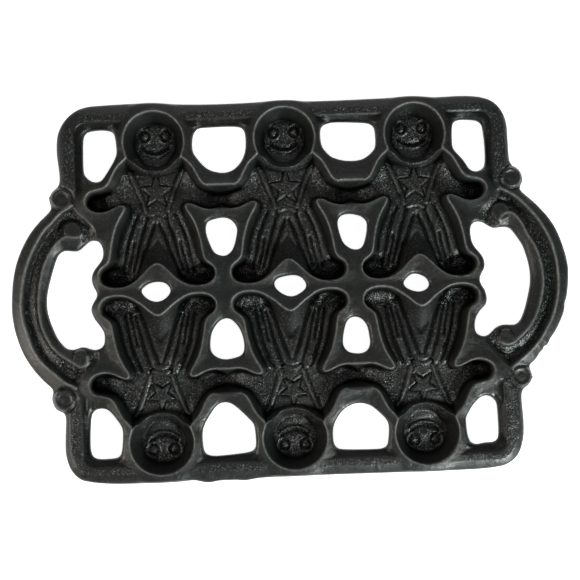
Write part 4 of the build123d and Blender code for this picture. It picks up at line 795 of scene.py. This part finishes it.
def iron():
    m = bpy.data.materials.new("seasoned_iron_skin")
    m.use_nodes = True
    nt = m.node_tree
    nt.nodes.clear()
    N = nt.nodes.new
    L = nt.links.new
    out = N("ShaderNodeOutputMaterial")
    bsdf = N("ShaderNodeBsdfPrincipled")
    L(bsdf.outputs["BSDF"], out.inputs["Surface"])
    geo = N("ShaderNodeTexCoord")
    where = geo.outputs["Object"]

    def attr(name):
        a = N("ShaderNodeAttribute")
        a.attribute_name = name
        return a.outputs["Fac"]

    def noise(scale, detail, rough=0.55):
        t = N("ShaderNodeTexNoise")
        t.inputs["Scale"].default_value = scale
        t.inputs["Detail"].default_value = detail
        t.inputs["Roughness"].default_value = rough
        L(where, t.inputs["Vector"])
        return t.outputs["Fac"]

    def ramp(src, a, b, lo=0.0, hi=1.0):
        r = N("ShaderNodeMapRange")
        r.inputs["From Min"].default_value = a
        r.inputs["From Max"].default_value = b
        r.inputs["To Min"].default_value = lo
        r.inputs["To Max"].default_value = hi
        r.interpolation_type = "SMOOTHSTEP"
        L(src, r.inputs["Value"])
        return r.outputs["Result"]

    def calc(op, a, b):
        c = N("ShaderNodeMath")
        c.operation = op
        for k, s in enumerate((a, b)):
            if isinstance(s, (int, float)):
                c.inputs[k].default_value = s
            else:
                L(s, c.inputs[k])
        return c.outputs["Value"]

    def mix(fac, a, b):
        x = N("ShaderNodeMix")
        x.data_type = "RGBA"
        if isinstance(fac, (int, float)):
            x.inputs[0].default_value = fac
        else:
            L(fac, x.inputs[0])
        for k, s in ((6, a), (7, b)):
            if isinstance(s, tuple):
                x.inputs[k].default_value = (*s, 1.0)
            else:
                L(s, x.inputs[k])
        return x.outputs[2]

    grain_and_glint_f = attr("grain")
    edge_wear_and_highlight_f = attr("edge_wear_and_highlight")
    painted_shade_f = attr("painted_shade")
    fine = noise(1500.0, 2.0, 0.6)
    mid_n = noise(700.0, 3.0, 0.6)
    wide = noise(24.0, 3.0, 0.5)
    raised_wear_and_crown_sheen_f = attr("raised_wear_and_crown_sheen")
    base = mix(ramp(wide, 0.35, 0.68), (0.0084, 0.0124, 0.0114), (0.0134, 0.0128, 0.0108))
    # raised edges lighter as wear, and the rail crowns lighter as a painted sheen
    base = mix(calc("MULTIPLY", raised_wear_and_crown_sheen_f, 0.55), base, (0.045, 0.045, 0.043))
    speck = noise(1100.0, 1.0, 0.5)
    base = mix(ramp(speck, 0.30, 0.55, 0.45, 0.0), base, (0.006, 0.007, 0.007))
    # painted glints: sparse bright specks in the base colour, most where the grain map is high
    base = mix(calc("MULTIPLY", ramp(speck, 0.57, 0.70), calc("ADD", 0.09, calc("MULTIPLY", grain_and_glint_f, 0.80))), base, (0.40, 0.41, 0.40))
    # painted shade: recesses, grooves, steep side walls and the underside mixed towards near-black
    base = mix(calc("MULTIPLY", painted_shade_f, 0.90), base, (0.0014, 0.0017, 0.0017))
    # worn edges painted as a bright highlight line along the rims and handle lips
    base = mix(calc("MULTIPLY", edge_wear_and_highlight_f, ramp(mid_n, 0.3, 0.6, 0.30, 0.85)), base, (0.44, 0.44, 0.43))
    L(base, bsdf.inputs["Base Color"])
    bsdf.inputs["Metallic"].default_value = 0.0
    bsdf.inputs["IOR"].default_value = 1.5
    r = calc("ADD", ramp(mid_n, 0.3, 0.7, 0.34, 0.46), calc("MULTIPLY", grain_and_glint_f, -0.16))
    r = calc("ADD", r, calc("MULTIPLY", attr("soft"), 0.26))
    L(r, bsdf.inputs["Roughness"])
    h = calc("ADD", calc("MULTIPLY", fine, 0.35), calc("ADD", calc("MULTIPLY", mid_n, 0.6), calc("MULTIPLY", speck, 0.5)))
    bump = N("ShaderNodeBump")
    bump.inputs["Distance"].default_value = 0.0006
    L(calc("ADD", 0.36, calc("MULTIPLY", grain_and_glint_f, 0.64)), bump.inputs["Strength"])
    # specular dimmed where shade is painted
    L(calc("SUBTRACT", 1.0, calc("MULTIPLY", painted_shade_f, 0.86)), bsdf.inputs["Specular IOR Level"])
    L(h, bump.inputs["Height"])
    L(bump.outputs["Normal"], bsdf.inputs["Normal"])
    return m


skin = iron()
for n, name in enumerate(NAMES):
    use = region == n
    q = quads[use]
    ids, inv = np.unique(q, return_inverse=True)
    q = inv.reshape(-1, 4)
    v = verts[ids]
    nrm = vert_n[ids]
    me = bpy.data.meshes.new(name + "_skin")
    me.vertices.add(len(v))
    me.vertices.foreach_set("co", (v * 0.001).ravel())
    me.loops.add(len(q) * 4)
    me.loops.foreach_set("vertex_index", q.ravel().astype(np.int32))
    me.polygons.add(len(q))
    me.polygons.foreach_set("loop_start", np.arange(0, len(q) * 4, 4, dtype=np.int32))
    me.polygons.foreach_set("use_smooth", np.ones(len(q), bool))
    me.update(calc_edges=True)
    me.normals_split_custom_set_from_vertices(nrm)
    for key, vals in zip(("grain", "edge_wear_and_highlight", "painted_shade", "raised_wear_and_crown_sheen", "soft"), vertex_maps(v, nrm)):
        at = me.attributes.new(key, "FLOAT", "POINT")
        at.data.foreach_set("value", vals.astype(np.float32))
    me.materials.append(skin)
    ob = bpy.data.objects.new(name + "_skin", me)
    bpy.context.scene.collection.objects.link(ob)
    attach(ob, "root")
    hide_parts(name)

# ---------------------------------------------------------------------------
# stage: pale floor, soft light, camera
# ---------------------------------------------------------------------------
def plain(name, colour, rough):
    m = bpy.data.materials.new(name)
    m.use_nodes = True
    p = m.node_tree.nodes["Principled BSDF"]
    p.inputs["Base Color"].default_value = (*colour, 1.0)
    p.inputs["Roughness"].default_value = rough
    p.inputs["Specular IOR Level"].default_value = 0.1
    return m


bpy.ops.mesh.primitive_plane_add(size=8.0, location=(0, 0, -0.0002))
floor = bpy.context.object
floor.name = "studio_floor"
white = plain("floor_white", (0.93, 0.93, 0.93), 0.9)
white.node_tree.nodes["Principled BSDF"].inputs["Emission Color"].default_value = (1.0, 1.0, 1.0, 1.0)
white.node_tree.nodes["Principled BSDF"].inputs["Emission Strength"].default_value = 0.96
floor.data.materials.append(white)

# pale backdrop round the floor: seen by the camera, and adds no light
bpy.ops.mesh.primitive_uv_sphere_add(segments=64, ring_count=32, radius=3.2, location=(0, 0, 0))
backdrop = bpy.context.object
backdrop.name = "studio_backdrop"
pale = bpy.data.materials.new("backdrop_white")
pale.use_nodes = True
pale.node_tree.nodes.clear()
glow = pale.node_tree.nodes.new("ShaderNodeEmission")
glow.inputs["Color"].default_value = (1.0, 1.0, 1.0, 1.0)
glow.inputs["Strength"].default_value = 0.96
pale_out = pale.node_tree.nodes.new("ShaderNodeOutputMaterial")
pale.node_tree.links.new(glow.outputs["Emission"], pale_out.inputs["Surface"])
backdrop.data.materials.append(pale)
backdrop.visible_diffuse = False
backdrop.visible_glossy = False
backdrop.visible_shadow = False

CENTRE = Vector((-0.0013, -0.0014, 0.0185))


def lamp(name, where, size, power, aim=CENTRE, shape="RECTANGLE", size_y=None, tint=(1.0, 1.0, 1.0)):
    d = bpy.data.lights.new(name, "AREA")
    d.shape = shape
    d.size = size
    d.size_y = size_y or size
    d.energy = power
    d.color = tint
    o = bpy.data.objects.new(name, d)
    o.location = where
    o.rotation_euler = (Vector(aim) - Vector(where)).to_track_quat("-Z", "Y").to_euler()
    bpy.context.scene.collection.objects.link(o)
    return o


lights = [
    lamp("front_right_softbox", (0.75, -0.95, 0.80), 0.28, 14.0, tint=(0.92, 1.0, 0.97)),
    lamp("left_softbox", (-1.05, -0.30, 0.75), 0.5, 4.3, tint=(1.0, 0.93, 0.86)),
    lamp("back_softbox", (0.05, 1.10, 0.80), 1.2, 1.7),
    lamp("overhead", (0.0, -0.1, 1.8), 1.0, 0.4),
    lamp("high_front_right", (0.42, -0.60, 1.20), 0.16, 0.6),
]

world = bpy.data.worlds.new("studio_air")
bpy.context.scene.world = world
world.use_nodes = True
bg = world.node_tree.nodes["Background"]
bg.inputs["Color"].default_value = (1.0, 1.0, 1.0, 1.0)
bg.inputs["Strength"].default_value = 0.02

scene = bpy.context.scene
cam_data = bpy.data.cameras.new("main_camera")
cam_data.sensor_width = 36.0
cam_data.lens = 56.16
cam_data.clip_start = 0.01
cam = bpy.data.objects.new("main_camera", cam_data)
cam.location = (-0.0133, -0.0291, 0.5685)
look = (CENTRE + Vector((0.0, -0.00072, 0.0)) - cam.location).normalized()
tilt = math.radians(2.1)
rightward = Vector((math.cos(tilt), -math.sin(tilt), 0.0))
rightward = (rightward - look * rightward.dot(look)).normalized()
upward = rightward.cross(look)
from mathutils import Matrix
cam.matrix_world = Matrix((
    (rightward.x, upward.x, -look.x, cam.location.x),
    (rightward.y, upward.y, -look.y, cam.location.y),
    (rightward.z, upward.z, -look.z, cam.location.z),
    (0, 0, 0, 1)))
cam_data.dof.use_dof = False
bpy.context.scene.collection.objects.link(cam)
scene.camera = cam
scene.view_settings.view_transform = "Standard"
